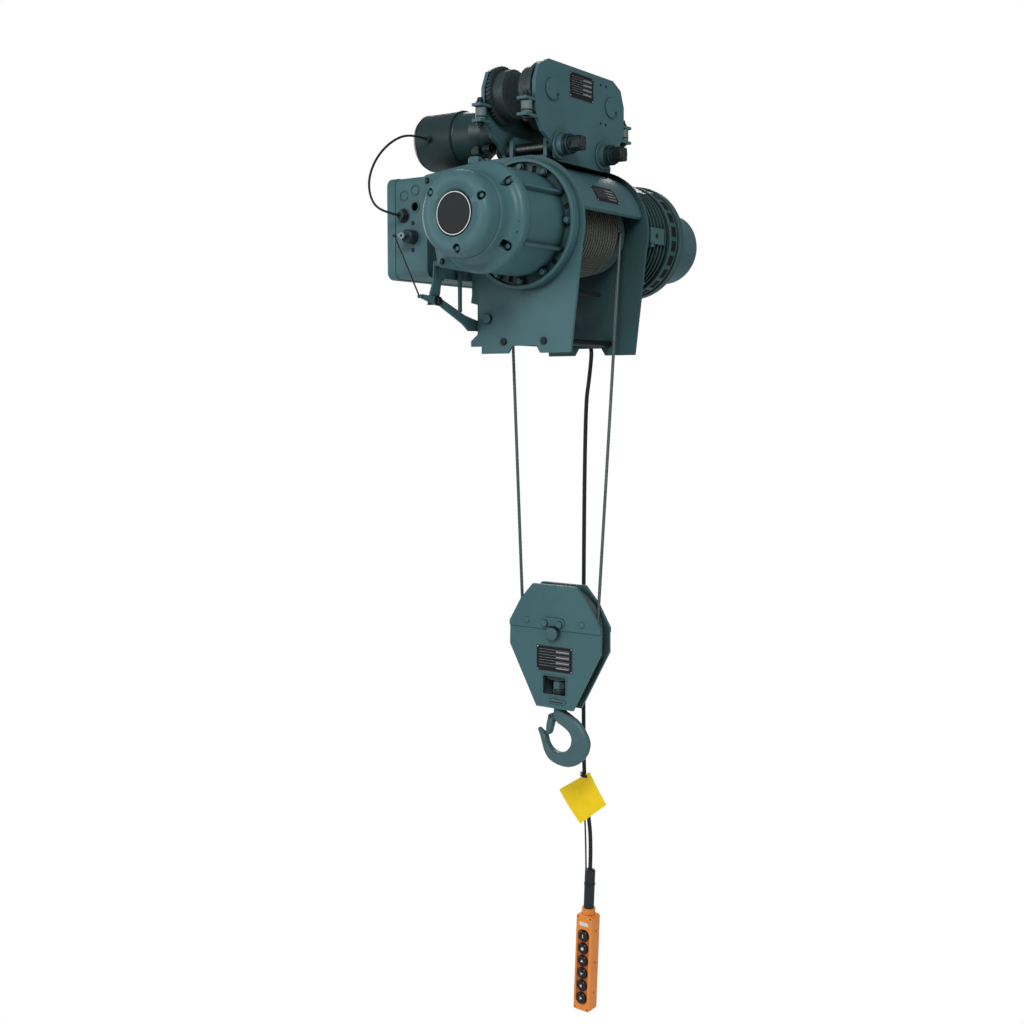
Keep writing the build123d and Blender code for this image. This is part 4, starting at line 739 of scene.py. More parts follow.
# forged hook: each row holds the inner edge, the outer edge and half the thickness, in bowl radii
bowl = 0.046
bowlY, bowlZ = -0.003, -1.853
hookRows = [
    (0.39, 2.95, -0.26, 2.95, 0.326), (0.39, 2.1, -0.26, 2.1, 0.326), (0.405, 1.92, -0.3, 1.97, 0.332),
    (0.42, 1.66, -0.56, 1.84, 0.345), (0.38, 1.34, -1.0, 1.62, 0.36), (0.15, 1.05, -1.45, 1.37, 0.37),
    (-0.25, 0.86, -1.9, 0.95, 0.37), (-0.68, 0.62, -2.23, 0.45, 0.37), (-0.93, 0.3, -2.39, 0.08, 0.37),
    (-1.0, 0.0, -2.42, -0.27, 0.37), (-0.93, -0.37, -2.28, -0.78, 0.37), (-0.7, -0.71, -1.95, -1.25, 0.37),
    (-0.38, -0.92, -1.4, -1.7, 0.37), (0.0, -1.0, -0.7, -1.94, 0.37), (0.38, -0.92, 0.08, -1.9, 0.37),
    (0.7, -0.71, 0.78, -1.62, 0.355), (0.92, -0.38, 1.18, -1.12, 0.33), (1.01, 0.0, 1.41, -0.52, 0.29),
    (1.19, 0.21, 1.59, -0.02, 0.24), (1.47, 0.42, 1.75, 0.28, 0.17), (1.6, 0.52, 1.76, 0.44, 0.09),
]
around = 28
points = []
for innerY, innerZ, outerY, outerZ, half in smoothRun(hookRows, 5):
    inner, outer = Vector((0, innerY, innerZ)), Vector((0, outerY, outerZ))
    middle, reach = (inner + outer) / 2, (outer - inner) / 2
    for k in range(around):
        turn = 2 * pi * k / around
        across = abs(cos(turn)) ** 0.8 * (1 if cos(turn) > 0 else -1)
        side = abs(sin(turn)) ** 0.8 * (1 if sin(turn) > 0 else -1) * (1 - 0.14 * across)
        spot = middle + reach * across
        points.append((shankX + side * half * bowl, bowlY + spot.y * bowl, bowlZ + spot.z * bowl))
forgedHook = addMesh("forgedHook", points, tubeFaces(len(points) // around, around), "hookPaint", "hook",
                     smoothTo=60)
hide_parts("hook")
lathe("hookCollar", [(-1.7635, 0.015), (-1.762, 0.0178), (-1.753, 0.0178), (-1.7515, 0.015)],
      (shankX, 0, 0), (0, 0, 1), "hookPaint", "hook", steps=48)

# latch: two cheeks on a rivet through the hook's ear, and the tongue between them
hingeY, hingeZ = 0.0269, -1.78899
ear = [(-0.014, 0.016), (0.002, 0.0092), (0.0075, 0.005), (0.0088, 0), (0.0065, -0.0062), (0, -0.0088),
       (-0.014, -0.012)]
prism("latchEar", ear, (shankX - 0.008, hingeY, hingeZ), (0, 1, 0), (0, 0, 1), 0.016, "hookPaint", "hook",
      edge=0.0015)
cheek = aroundCircle(0.0092, range(-10, 200, 14))
cheek += [(-0.0075, -0.018), (0.0012, -0.05), (0.0125, -0.0585), (0.0165, -0.048), (0.015, -0.028)]
tongue = [(-0.0066, -0.0135), (0.0095, -0.0115), (0.0142, -0.028), (0.0157, -0.048), (0.0122, -0.0595),
          (0.004, -0.0575), (-0.0012, -0.048), (-0.0048, -0.028)]
latchTongue = prism("latchTongue", tongue, (shankX - 0.008, hingeY, hingeZ), (0, 1, 0), (0, 0, 1), 0.016,
                    "hookPaint", "hook_latch", "shaft_steel", edge=0.0012)
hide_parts("hook_latch")
for side in (-1, 1):
    start = shankX + (0.0084 if side > 0 else -0.0104)
    prism(f"latchCheek{side + 1}", cheek, (start, hingeY, hingeZ), (0, 1, 0), (0, 0, 1), 0.002,
          "hookPaint", "hook_latch", "shaft_steel", edge=0.0006)
    stud(f"latchRivet{side + 1}", (shankX + side * 0.0104, hingeY, hingeZ), (side, 0, 0), 0.0042, 0.0026,
         "darkSteel", "hook_latch")
print("hook block dressed")


# hoist gearbox: cover with bolt pockets, cap with its badge, and the dished flange
gearbox = {
    "axisZ": -0.292,
    "flangeX": -0.168,
    "coverX": -0.366,
    "capX": -0.497,
    "boltRadius": 0.162,
    "toothRadius": 0.161,
    "pocketRadius": 0.16,
    "rimSlotRadius": 0.1803,
    "boltTurns": (0, 60, 90, 120, 180, 240, 270, 300),
    # y and z from the axis, and the lean in degrees
    "pockets": [(-0.101, 0.0875, 218), (-0.1, -0.0865, 308)],
    "pocketFloorX": -0.373,
    "capBolts": [(157.5, 0.101), (263.5, 0.097), (37, 0.101)],      # turn and radius
    "ears": [(0.195, 0.118), (0.141, -0.114)],
    # x, y, z and radius
    "setScrews": [(-0.3664, 0.18, -0.2165, 0.0028), (-0.3664, 0.162, -0.235, 0.0026),
                  (-0.3802, -0.1375, -0.314, 0.0024), (-0.3802, -0.131, -0.342, 0.0028)],
    "rimSlots": (144.5, 150, 155.5, 207, 212, 217, 186, 174, 225),
}


def acrossAxis(turn, radius):
    # y and z of a place round the axis, the turn in degrees
    return radius * cos(radians(turn)), gearbox["axisZ"] + radius * sin(radians(turn))


def roundAxis(turn):
    # the way round the flange and the way inward at this turn
    return (0, -sin(radians(turn)), cos(radians(turn))), (0, -cos(radians(turn)), -sin(radians(turn)))


coverPiece = copyOf("gearbox_cover", "gearCover", "castPaint")
cutters = []
for y, z, turn in gearbox["pockets"]:
    drop = aroundCircle(0.013, range(-100, 101, 20))
    drop += [(-0.012, 0.0115), (-0.0245, 0.001), (-0.012, -0.0115)]
    lean = radians(turn)
    drop = [(u * cos(lean) - v * sin(lean), u * sin(lean) + v * cos(lean)) for u, v in drop]
    cutters.append(prism("pocketCutter", drop, (gearbox["pocketFloorX"], y, gearbox["axisZ"] + z),
                         *towardFront, 0.03, "castPaint"))
carve(coverPiece, cutters)
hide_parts("gearbox_cover")
for k, (y, z, turn) in enumerate(gearbox["pockets"]):
    hexBolt(f"coverBolt{k}", (gearbox["pocketFloorX"] + 0.0002, y, gearbox["axisZ"] + z), (-1, 0, 0),
            0.0135, 0.009, washer=0.0015)

capPiece = copyOf("gearbox_cap", "gearCap", "castPaint")
cutters = []
for turn, radius in gearbox["capBolts"]:
    y, z = acrossAxis(turn, radius)
    cutters.append(lathe("capCutter", [(-0.004, 0), (-0.004, 0.0125), (0.04, 0.0125), (0.04, 0)],
                         (gearbox["capX"] + 0.01, y, z), (-1, 0, 0), "castPaint", steps=32))
carve(capPiece, cutters)
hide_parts("gearbox_cap")
for k, (turn, radius) in enumerate(gearbox["capBolts"]):
    y, z = acrossAxis(turn, radius)
    hexBolt(f"capBolt{k}", (gearbox["capX"] + 0.0142, y, z), (-1, 0, 0), 0.0125, 0.009)

# plain badge: a dark disc with a pale rim
badge = (gearbox["capX"] + 0.003, -0.003, gearbox["axisZ"] - 0.002)
lathe("badgeDisc", [(0, 0), (0, 0.061), (0.0028, 0.061), (0.0034, 0.0604), (0.0034, 0)], badge,
      (-1, 0, 0), "plateBlack")
lathe("badgeRim", [(0.003, 0.056), (0.004, 0.0563), (0.004, 0.0585), (0.003, 0.0588)], badge, (-1, 0, 0),
      "mark")
lathe("badgeFace", [(0.0032, 0), (0.0032, 0.052), (0.0037, 0.0515), (0.0037, 0)], badge, (-1, 0, 0),
      "badgeGrey")

# ears, lifting lug and small set screws; the ear holes are flat near-black discs of painted shade, and the
# set screws are near-black studs
for k, (y, z) in enumerate(gearbox["ears"]):
    spot = (gearbox["coverX"], y, gearbox["axisZ"] + z)
    lathe(f"earHole{k}", [(0, 0), (0, 0.0088), (0.0006, 0.0088), (0.0006, 0)], spot, (-1, 0, 0), "hole",
          steps=32)
    hexBolt(f"earBolt{k}", (spot[0] - 0.0004, y, spot[2] - 0.001), (-1, 0, 0), 0.0105, 0.004, "darkPaint")
prism("coverLug", roundedBox(0.036, 0.022, 0.008), (-0.352, 0.024, gearbox["axisZ"] + 0.158),
      *towardFront, 0.022, "castPaint", edge=0.003)
prism("coverLugStep", roundedBox(0.026, 0.012, 0.004), (-0.352, -0.008, gearbox["axisZ"] + 0.154),
      *towardFront, 0.014, "castPaint", edge=0.002)
hexBolt("lugBolt", (-0.3655, -0.009, gearbox["axisZ"] + 0.154), (-1, 0, 0), 0.01, 0.006, "darkPaint")
for k, (x, y, z, radius) in enumerate(gearbox["setScrews"]):
    stud(f"setScrew{k}", (x, y, z), (-1, 0, 0), radius, 0.0016, "hole")

# flange dish: a raised rim, with a boss and a bolt at each place
rimStart = gearbox["flangeX"]
rimEnd = rimStart - 0.016
lathe("flangeRim",
      [(0.0005, 0.1745), (0.0005, 0.1858), (-0.014, 0.1858), (-0.016, 0.1838), (-0.016, 0.1772),
       (-0.0145, 0.1752)], (rimStart, 0, gearbox["axisZ"]), (1, 0, 0), "castPaint", steps=128)
for k, turn in enumerate(gearbox["boltTurns"]):
    y, z = acrossAxis(turn, gearbox["boltRadius"])
    prism(f"flangeBoss{k}", roundedBox(0.034, 0.028, 0.009), (rimStart + 0.0005, y, z), *roundAxis(turn),
          0.0105, "castPaint", edge=0.002)
    head = hexBolt(f"flangeBolt{k}", (rimStart - 0.01, y, z), (-1, 0, 0), 0.0165, 0.01, washer=0.002)
    if k == 0:
        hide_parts("gearbox_bolts")

# toothed inner ring: a tooth at each place, and beside it a flat near-black patch, painted shade of a
# pocket
for k in range(24):
    turn = 7.5 + 15 * k
    if abs((turn + 30) % 60 - 30) < 10:
        continue
    y, z = acrossAxis(turn, gearbox["toothRadius"])
    prism(f"flangeTooth{k}", roundedBox(0.0225, 0.02, 0.003, 4), (rimStart + 0.0005, y, z),
          *roundAxis(turn), 0.0125, "castPaint", edge=0.002)
    y, z = acrossAxis(turn + 7.5, gearbox["pocketRadius"])
    prism(f"flangePocket{k}", roundedBox(0.015, 0.018, 0.002, 3), (rimStart - 0.0002, y, z),
          *roundAxis(turn), 0.0008, "hole")

# short slots in the face of the rim, as flat near-black patches of painted shade
for k, turn in enumerate(gearbox["rimSlots"]):
    y, z = acrossAxis(turn, gearbox["rimSlotRadius"])
    prism(f"rimSlot{k}", roundedBox(0.017, 0.0042, 0.001, 2), (rimEnd + 0.0004, y, z), *roundAxis(turn),
          0.0007, "hole")
print("gearbox dressed")


# trolley: axle covers, blank plate, buffer bolts, collars and square shaft ends
trolley = {
    "faceY": -0.095,
    "axleZ": 0.0825,
    "axles": (-0.16, 0.16),
    "shafts": (-0.115, 0.115),
    "buffersX": (-0.262, 0.262),
    "buffersY": (-0.08, 0.08),
    "shaftZ": -0.068,
    "plate": (-0.0015, 0.1145, 0.129, 0.073),      # middle x and z, width, height
}
for sideName, outY in (("Near", -1), ("Far", 1)):
    faceY = -outY * trolley["faceY"]
    for k, x in enumerate(trolley["axles"]):
        lathe(f"axleCover{sideName}{k}",
              [(-0.0005, 0), (-0.0005, 0.03), (0.0045, 0.03), (0.006, 0.0285), (0.006, 0)],
              (x, faceY, trolley["axleZ"]), (0, outY, 0), "paint", steps=72)
        hexBolt(f"axleKeeper{sideName}{k}",
                (x + 0.0235, faceY + outY * 0.0055, trolley["axleZ"] - 0.0125), (0, outY, 0), 0.009,
                0.003, "darkPaint")
plateX, plateZ, plateWide, plateHigh = trolley["plate"]
trolleySurface = flatSurface((plateX, trolley["faceY"], plateZ), *towardNear)
blankPlate("trolleyPlate", trolleySurface, plateWide, plateHigh, "hoist", 8, (0, -1, 0))

for k, x in enumerate(trolley["buffersX"]):
    for j, y in enumerate(trolley["buffersY"]):
        lathe(f"bufferBand{k}{j}", [(0.0055, 0.015), (0.0055, 0.0163), (0.0105, 0.0163), (0.0105, 0.015)],
              (x, y, 0), (0, 0, 1), "darkPaint", steps=40)
        lathe(f"bufferBolt{k}{j}",
              [(0.044, 0), (0.044, 0.0125), (0.05, 0.0125), (0.052, 0.0095), (0.056, 0.0095),
               (0.057, 0.008), (0.062, 0.0075), (0.063, 0)], (x - 0.004, y, 0), (0, 0, 1), "darkSteel",
              steps=32)
        lathe(f"bufferNut{k}{j}",
              [(-0.023, 0), (-0.0225, 0.0065), (-0.016, 0.007), (-0.0158, 0.011), (-0.0085, 0.011),
               (-0.0085, 0)], (x - 0.004, y, 0), (0, 0, 1), "darkSteel", steps=32)

for k, x in enumerate(trolley["shafts"]):
    centre = (x, 0, trolley["shaftZ"])
    lathe(f"shaftWasher{k}",
          [(-0.0955, 0.02), (-0.0955, 0.0405), (-0.0985, 0.041), (-0.1, 0.0395), (-0.1, 0.031),
           (-0.114, 0.0305), (-0.119, 0.029), (-0.119, 0.02)], centre, (0, 1, 0), "paint",
          steps=72)
    lathe(f"shaftRing{k}",
          [(-0.1195, 0.025), (-0.1195, 0.03), (-0.124, 0.03), (-0.1245, 0.027), (-0.129, 0.027),
           (-0.1295, 0.03), (-0.1335, 0.03), (-0.1345, 0.0285), (-0.1345, 0.025)], centre, (0, 1, 0),
          "darkPaint", steps=72)
    prism(f"shaftNut{k}", roundedBox(0.04, 0.04, 0.006, 3), (x, -0.1335, trolley["shaftZ"]), *towardNear,
          0.038, "darkSteel", edge=0.0018)
    lathe(f"shaftFace{k}",
          [(-0.1713, 0.0055), (-0.1713, 0.0185), (-0.1722, 0.0185), (-0.1727, 0.018), (-0.1727, 0.006)],
          centre, (0, 1, 0), "steel", steps=48)
    # the centre hole is a flat near-black disc: painted shade
    lathe(f"shaftHole{k}", [(-0.17, 0), (-0.17, 0.0054), (-0.1716, 0.0054), (-0.1716, 0)], centre,
          (0, 1, 0), "hole", steps=32)
    lathe(f"farNut{k}",
          [(0.1105, 0.0175), (0.1105, 0.0235), (0.112, 0.0245), (0.1145, 0.0245), (0.116, 0.0235),
           (0.116, 0.0175)], centre, (0, 1, 0), "darkPaint", steps=48)

# trolley motor: seams, fan cowl slots as flat near-black patches of painted shade, lug bolts and the gland
# of its lead
driveX = -0.08
driveZ = -0.008
for k, start in enumerate((0.2715, 0.402)):
    lathe(f"motorSeam{k}", [(0, 0.0838), (0, 0.0858), (0.0022, 0.0858), (0.0022, 0.0838)],
          (driveX, start, driveZ), (0, 1, 0), "blackPlastic")
for k in range(14):
    turn = 2 * pi * k / 14
    prism(f"cowlSlot{k}", roundedBox(0.022, 0.005, 0.002, 3),
          (driveX + 0.042 * cos(turn), 0.4196, driveZ + 0.042 * sin(turn)), (-cos(turn), 0, -sin(turn)),
          (-sin(turn), 0, cos(turn)), 0.0008, "hole")
for k, turn in enumerate((135, 225, 45, 315)):
    spot = (driveX + 0.066 * cos(radians(turn)), 0.143, driveZ + 0.066 * sin(radians(turn)))
    lathe(f"motorLug{k}", [(0, 0), (0, 0.0125), (0.026, 0.0125), (0.028, 0.0105), (0.028, 0)], spot,
          (0, 1, 0), "darkPaint", steps=32)
    hexBolt(f"motorLugBolt{k}", (spot[0], spot[1] + 0.0005, spot[2]), (0, -1, 0), 0.012, 0.008,
            "darkSteel")
lathe("leadGland",
      [(-0.013, 0.004), (-0.013, 0.007), (-0.012, 0.0085), (-0.006, 0.0085), (-0.005, 0.0105),
       (0.002, 0.0105), (0.002, 0.004)], (-0.166, 0.35, -0.013), (1, 0, 0), "blackPlastic", steps=32)
print("trolley dressed")


# drum cover: a blank plate on its curved skin
coverSkin = {
    "axisZ": -0.292,
    "radius": 0.186,
    "middleX": 0.029,
    "middleTurn": 30.8,
    "width": 0.124,
    "height": 0.056,
}


def curvedSkin(across, up, off):
    turn = radians(coverSkin["middleTurn"]) + up / coverSkin["radius"]
    reach = coverSkin["radius"] + off
    z = coverSkin["axisZ"] + reach * sin(turn)
    return Vector((coverSkin["middleX"] + across, -reach * cos(turn), z))


tilt = radians(coverSkin["middleTurn"])
blankPlate("coverPlate", curvedSkin, coverSkin["width"], coverSkin["height"], "hoist", 7,
           (0, -cos(tilt), sin(tilt)))

# control box: cable gland, knockouts and cover screws
box = {
    "faceX": -0.33,
    "gland": (0.312, -0.261),
    "nipples": [(0.312, -0.203), (0.27, -0.19)],
    "screws": [(0.278, -0.284), (0.279, -0.362)],
}
glandPlace = (box["faceX"], *box["gland"])
hexBolt("glandNut", glandPlace, (-1, 0, 0), 0.03, 0.008, "blackPlastic", washer=0.0015)
lathe("glandCap",
      [(-0.021, 0.0045), (-0.021, 0.0085), (-0.0195, 0.0118), (-0.011, 0.0124), (-0.011, 0.0045)],
      glandPlace, (1, 0, 0), "blackPlastic", steps=32)
for k, (y, z) in enumerate(box["nipples"]):
    lathe(f"knockout{k}",
          [(0.0004, 0.0105), (0.0004, 0.0112), (-0.0006, 0.0116), (-0.0006, 0.0127), (0.0004, 0.0127)],
          (box["faceX"], y, z), (1, 0, 0), "castPaint", steps=40)
for k, (y, z) in enumerate(box["screws"]):
    stud(f"boxScrew{k}", (box["faceX"], y, z), (-1, 0, 0), 0.0062, 0.003, "darkSteel")

# end of the rope anchor pin, painted over
lathe("anchorPinHead",
      [(0.0004, 0), (0.0004, 0.0142), (-0.0012, 0.0142), (-0.0018, 0.0134), (-0.0018, 0)],
      (-0.1562, 0.14, -0.558), (1, 0, 0), "castPaint", steps=40)

# limit arm: hub nut, and the cast arm bracket behind it
limitArm = {
    "pivot": (-0.33, 0.1866, -0.513),
    "bracket": [(-0.3168, -0.4471), (-0.3405, -0.4593), (-0.3536, -0.4899), (-0.3644, -0.5268),
                (-0.3215, -0.5246), (-0.3092, -0.4913), (-0.3038, -0.4569), (-0.284, -0.4466),
                (-0.2744, -0.4262), (-0.2448, -0.4133), (-0.3077, -0.4139)],
    "backY": 0.1996,
}
hexBolt("rockerNut", limitArm["pivot"], (0, -1, 0), 0.021, 0.009, "darkSteel", "limit_arm", washer=0.002)
prism("armBracketWeb", limitArm["bracket"], (0, limitArm["backY"], 0), *towardNear, 0.0062, "castPaint",
      edge=0.0012)

# hoist motor shell: a ribbed barrel, six lug rows, a slotted ring and a plain end ring; the shell is in the
# darker shaded paint, as painted shade
motor = {
    "axisZ": -0.292,
    "start": 0.2202,
    "finRadius": 0.1718,
    "coreRadius": 0.15,
    "firstFin": 0.248,
    "finStep": 0.021,
    "fins": 7,
    "ringStart": 0.396,
    "ringEnd": 0.443,
    "windowX": 0.4195,
    "lugScrewX": 0.313,
    "endRadius": 0.1815,
    "end": 0.482,
}


def acrossMotor(turn):
    # directions away from the axis and round it, the turn in degrees
    turn = radians(turn)
    return Vector((0, cos(turn), sin(turn))), Vector((0, -sin(turn), cos(turn)))


core = motor["coreRadius"]
fin = motor["finRadius"]
outline = [(motor["start"], 0.13), (motor["start"], fin - 0.001), (motor["start"] + 0.001, fin),
           (motor["start"] + 0.011, fin), (motor["start"] + 0.012, fin - 0.001)]
for k in range(motor["fins"]):
    x = motor["firstFin"] + motor["finStep"] * k
    outline += [(x - 0.003, core + 0.001), (x - 0.002, fin - 0.001), (x - 0.001, fin), (x + 0.001, fin),
                (x + 0.002, fin - 0.001), (x + 0.003, core + 0.001)]
ringStart = motor["ringStart"]
ringEnd = motor["ringEnd"]
outline += [(ringStart, core + 0.001), (ringStart, fin + 0.002), (ringStart + 0.002, fin + 0.0045),
            (ringEnd - 0.002, fin + 0.0045), (ringEnd, fin + 0.0025), (ringEnd + 0.001, fin - 0.004),
            (ringEnd + 0.007, fin - 0.004), (ringEnd + 0.008, motor["endRadius"] - 0.003),
            (ringEnd + 0.012, motor["endRadius"]), (motor["end"] - 0.008, motor["endRadius"]),
            (motor["end"] - 0.001, motor["endRadius"] - 0.009), (motor["end"], motor["endRadius"] - 0.012),
            (motor["end"], 0.1)]
motorShell = lathe("motorShell", outline, (0, 0, motor["axisZ"]), (1, 0, 0), "shadePaint", steps=144)
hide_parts("motor_housing")
for k in range(6):
    outward, sideways = acrossMotor(60 * k)
    for j, (x, long, wide, low, high) in enumerate(((0.32, 0.084, 0.05, 0.146, 0.174),
                                                     (0.286, 0.015, 0.012, 0.146, 0.176))):
        side = 0 if j == 0 else 0.03
        prism(f"motorLugRow{k}{j}", roundedBox(long, wide, 0.006),
              Vector((x, 0, motor["axisZ"])) + outward * low + sideways * side, (1, 0, 0), -sideways,
              high - low, "castPaint", edge=0.002)
    spot = Vector((motor["lugScrewX"], 0, motor["axisZ"])) + outward * 0.1738
    stud(f"motorLugScrew{k}", spot, outward, 0.0075, 0.003, "darkSteel")
# the ring's slots are flat near-black patches: painted shade
for k in range(24):
    outward, sideways = acrossMotor(15 * k + 7.5)
    spot = Vector((motor["windowX"], 0, motor["axisZ"])) + outward * (fin + 0.0038)
    prism(f"motorWindow{k}", roundedBox(0.026, 0.032, 0.003), spot, (1, 0, 0), -sideways, 0.0014, "hole",
          edge=0.0003)
print("frame dressed")


# pendant: button strip, blank label, button rings, screws and ribbed collar
pendantHand = {
    "top": (0.207, -0.002, -2.475),
    "lean": 2.1,
    "frontX": 0.181,
    "firstButton": 0.07,
    "buttonStep": 0.042,
}
leanTurn = radians(pendantHand["lean"])
handAcross = Vector((0, cos(leanTurn), sin(leanTurn)))
handDown = Vector((0, sin(leanTurn), -cos(leanTurn)))


def onHand(across, down, x=None):
    spot = Vector(pendantHand["top"]) + handAcross * across + handDown * down
    spot.x = pendantHand["frontX"] if x is None else x
    return spot


handRight = -handAcross
handUp = -handDown
prism("buttonStrip", roundedBox(0.0425, 0.254, 0.004), onHand(0, 0.175, 0.1842), handRight, handUp, 0.001,
      "recess", edge=0.0003)
prism("handLabel", roundedBox(0.034, 0.0125, 0.001), onHand(0, 0.03), handRight, handUp, 0.0005, "mark",
      slot="orange_plastic", edge=0.0001)
for k in range(6):
    down = pendantHand["firstButton"] + pendantHand["buttonStep"] * k
    lathe(f"buttonRing{k}",
          [(-0.0006, 0.0182), (-0.0006, 0.0202), (0.0016, 0.0196), (0.002, 0.0186), (0.0016, 0.0182)],
          onHand(0, down, 0.1836), (-1, 0, 0), "blackPlastic", steps=48)
for across, down in ((-0.0234, 0.008), (0.0234, 0.008), (-0.0234, 0.316), (0.0234, 0.316)):
    stud("handScrew", onHand(across, down), (-1, 0, 0), 0.0026, 0.0008, "darkSteel")
for k, down in enumerate((0.052, 0.16, 0.262)):
    spot = Vector(pendantHand["top"]) - handAcross * 0.0308 + handDown * down
    stud(f"sideScrew{k}", spot, -handAcross, 0.004, 0.0008, "screwRed")

for k in range(5):
    spot = Vector(pendantHand["top"]) - handDown * (0.0025 + 0.0035 * k)
    lathe(f"collarRib{k}", [(-0.0011, 0.015), (-0.0009, 0.0222), (0.0009, 0.0222), (0.0011, 0.015)], spot,
          handDown, "orange", steps=40)

# plain marks on the buttons: arrows in pairs, one bar and one ring
arrow = [(-0.0062, -0.0035), (0, 0.0055), (0.0062, -0.0035), (0.0022, -0.0022), (-0.0022, -0.0022)]
sign = {
    0: [(-0.0014, -0.006), (0.0014, -0.006), (0.0014, 0.006), (-0.0014, 0.006)],
    1: aroundCircle(0.0052, range(0, 360, 15)),
    2: arrow,
    3: [(-x, -y) for x, y in arrow],
    4: [(-y, x) for x, y in arrow],
    5: [(y, -x) for x, y in arrow],
}
for k, outline in sign.items():
    down = pendantHand["firstButton"] + pendantHand["buttonStep"] * k
    face = onHand(0, down, pendantHand["frontX"] - 0.0049)
    body = f"button_{k + 1}"
    prism(f"buttonSign{k}", outline, face, handRight, handUp, 0.0006, "mark", body, "black_plastic")
    lathe(f"buttonDish{k}", [(0.0, 0.0105), (0.0009, 0.0112), (0.0009, 0.013), (0.0, 0.0137)], face,
          (-1, 0, 0), "button", body, steps=40)

# bare card tied to the cable
card = {
    "corners": [(-0.005, -2.003), (-0.07, -2.1), (0.029, -2.18), (0.112, -2.08)],
    "x": 0.203,
    "bow": 0.004,
    "thick": 0.0006,
    "steps": 14,
}
cardPoints, cardFaces = [], []
count = card["steps"] + 1
topCorner, rightCorner, lowCorner, leftCorner = [Vector((0, *corner)) for corner in card["corners"]]
for back in (0, 1):
    for j in range(count):
        for i in range(count):
            u, v = i / card["steps"], j / card["steps"]
            spot = topCorner.lerp(rightCorner, u).lerp(leftCorner.lerp(lowCorner, u), v)
            spot.x = card["x"] - card["bow"] * sin(pi * u) * (0.4 + 0.6 * v) + card["thick"] * back
            cardPoints.append(spot)
layer = count * count
for j in range(card["steps"]):
    for i in range(card["steps"]):
        a = j * count + i
        cardFaces += [(a, a + 1, a + count + 1, a + count),
                      (a + layer, a + layer + count, a + layer + count + 1, a + layer + 1)]
for k in range(card["steps"]):
    last = layer - count + k
    cardFaces += [(k, k + layer, k + layer + 1, k + 1), (last, last + 1, last + layer + 1, last + layer)]
    left, right = k * count, k * count + card["steps"]
    cardFaces += [(left, left + count, left + count + layer, left + layer),
                  (right, right + layer, right + count + layer, right + count)]
addMesh("bareCard", cardPoints, cardFaces, "card", smoothTo=40)
for k, z in enumerate((-2.0125, -2.0205)):
    lathe(f"cardTie{k}", [(-0.002, 0.0065), (-0.0016, 0.0092), (0.0016, 0.0092), (0.002, 0.0065)],
          (0.214 - 0.0008 * k, 0.0265, z), (0, 0, 1), "blackPlastic", steps=32)
prism("cardTongue", roundedBox(0.022, 0.009, 0.003), (0.202, 0.014, -2.019), *towardFront, 0.0028,
      "blackPlastic", slot="cable_rubber", edge=0.0005)

# support wire beside the sleeve
wireRun = [(0.212, 0.018, -2.15), (0.2085, 0.012, -2.22), (0.205, 0.008, -2.29),
           (0.204, 0.0065, -2.345), (0.2036, 0.005, -2.4)]
ropeAlong("supportWire", smoothRun(wireRun, 8), 0.0028, 0.05, "sleeve", "hoist", around=16)
lathe("sleeveBand", [(-0.004, 0.0165), (-0.0035, 0.0182), (0.0035, 0.0182), (0.004, 0.0165)],
      onHand(0, -0.1, 0.207), handDown, "blackPlastic", steps=40)
print("pendant dressed")


floorZ = lowFirst.z - 0.45
mesh = bpy.data.meshes.new("floor")
corners = [(x, y, floorZ) for x, y in ((-40, -40), (40, -40), (40, 40), (-40, 40))]
mesh.from_pydata(corners, [], [(0, 1, 2, 3)])
floor = bpy.data.objects.new("floor", mesh)
scene.collection.objects.link(floor)


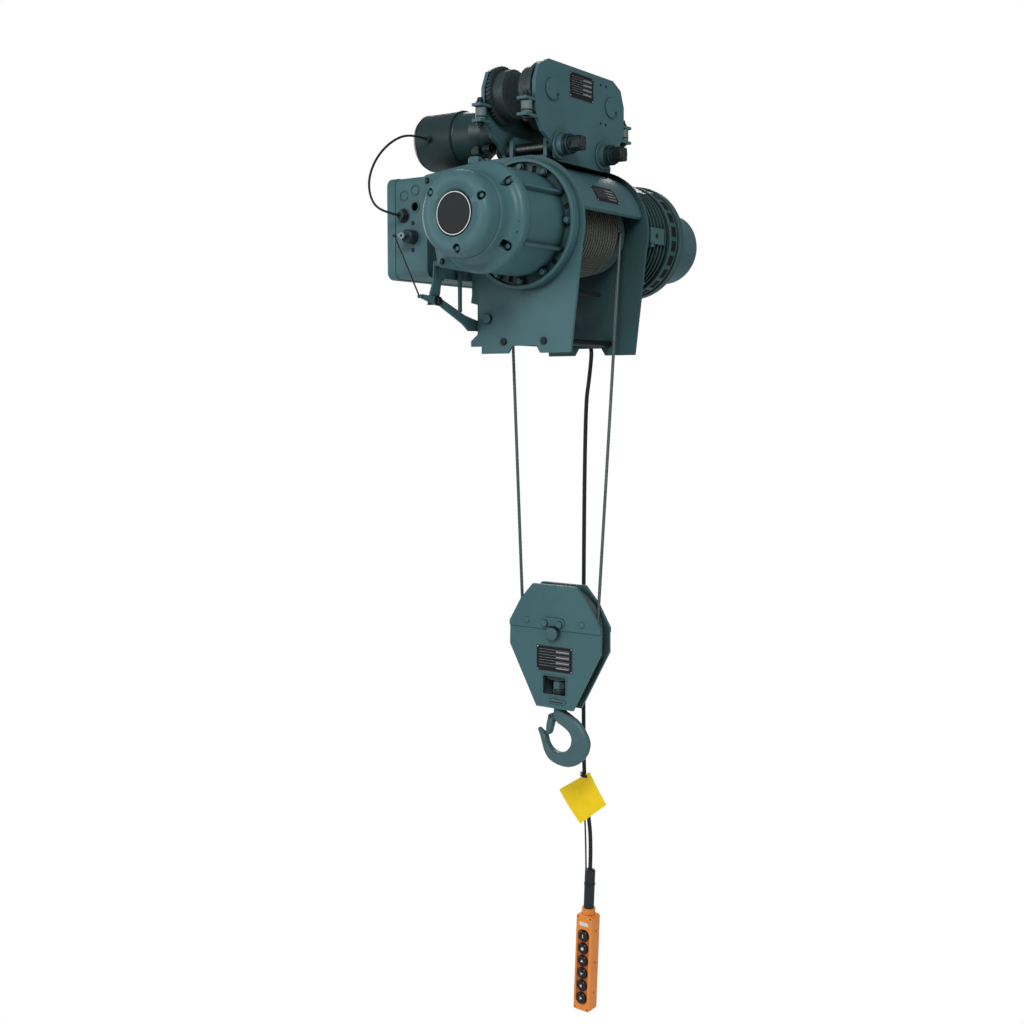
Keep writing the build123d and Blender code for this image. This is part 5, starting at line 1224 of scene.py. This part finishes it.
def paleMaterial():
    material, tree, shader = newMaterial("paleFloor")
    shader.inputs["Base Color"].default_value = (0.8, 0.8, 0.8, 1)
    shader.inputs["Roughness"].default_value = 0.9
    seen = tree.nodes.new("ShaderNodeEmission")
    seen.inputs["Color"].default_value = (1, 1, 1, 1)
    path = tree.nodes.new("ShaderNodeLightPath")
    mix = tree.nodes.new("ShaderNodeMixShader")
    link(tree, path.outputs["Is Camera Ray"], mix.inputs["Fac"])
    link(tree, shader.outputs["BSDF"], mix.inputs[1])
    link(tree, seen.outputs["Emission"], mix.inputs[2])
    link(tree, mix.outputs["Shader"], tree.nodes["Material Output"].inputs["Surface"])
    return material


mesh.materials.append(paleMaterial())

world = bpy.data.worlds.new("world")
scene.world = world
world.use_nodes = True
worldTree = world.node_tree
background = worldTree.nodes["Background"]
background.inputs["Color"].default_value = (0.9, 0.95, 1.0, 1)
background.inputs["Strength"].default_value = 0.27
behind = worldTree.nodes.new("ShaderNodeBackground")
behind.inputs["Color"].default_value = (1, 1, 1, 1)
path = worldTree.nodes.new("ShaderNodeLightPath")
mixer = worldTree.nodes.new("ShaderNodeMixShader")
link(worldTree, path.outputs["Is Camera Ray"], mixer.inputs["Fac"])
link(worldTree, background.outputs["Background"], mixer.inputs[1])
link(worldTree, behind.outputs["Background"], mixer.inputs[2])
link(worldTree, mixer.outputs["Shader"], worldTree.nodes["World Output"].inputs["Surface"])

lamps = {
    "keyLamp": {"place": (-4.8, -2.7, 2.5), "power": 220, "size": 1.8},
    "sideLamp": {"place": (-5.0, 2.4, 0.6), "power": 60, "size": 2.2},
    "lowLamp": {"place": (-1.5, -4.5, -2.2), "power": 26, "size": 2.0},
    "backLamp": {"place": (4.2, 2.6, 2.0), "power": 130, "size": 2.5},
    "farLamp": {"place": (0.5, 5.0, 0.2), "power": 90, "size": 2.5},
}
for name, lamp in lamps.items():
    lampData = bpy.data.lights.new(name, "AREA")
    lampData.energy = lamp["power"]
    lampData.size = lamp["size"]
    lampObject = bpy.data.objects.new(name, lampData)
    lampObject.location = lamp["place"]
    aim = Vector((0, 0, -0.9)) - Vector(lamp["place"])
    lampObject.rotation_euler = aim.to_track_quat("-Z", "Y").to_euler()
    scene.collection.objects.link(lampObject)
print("lamps set")
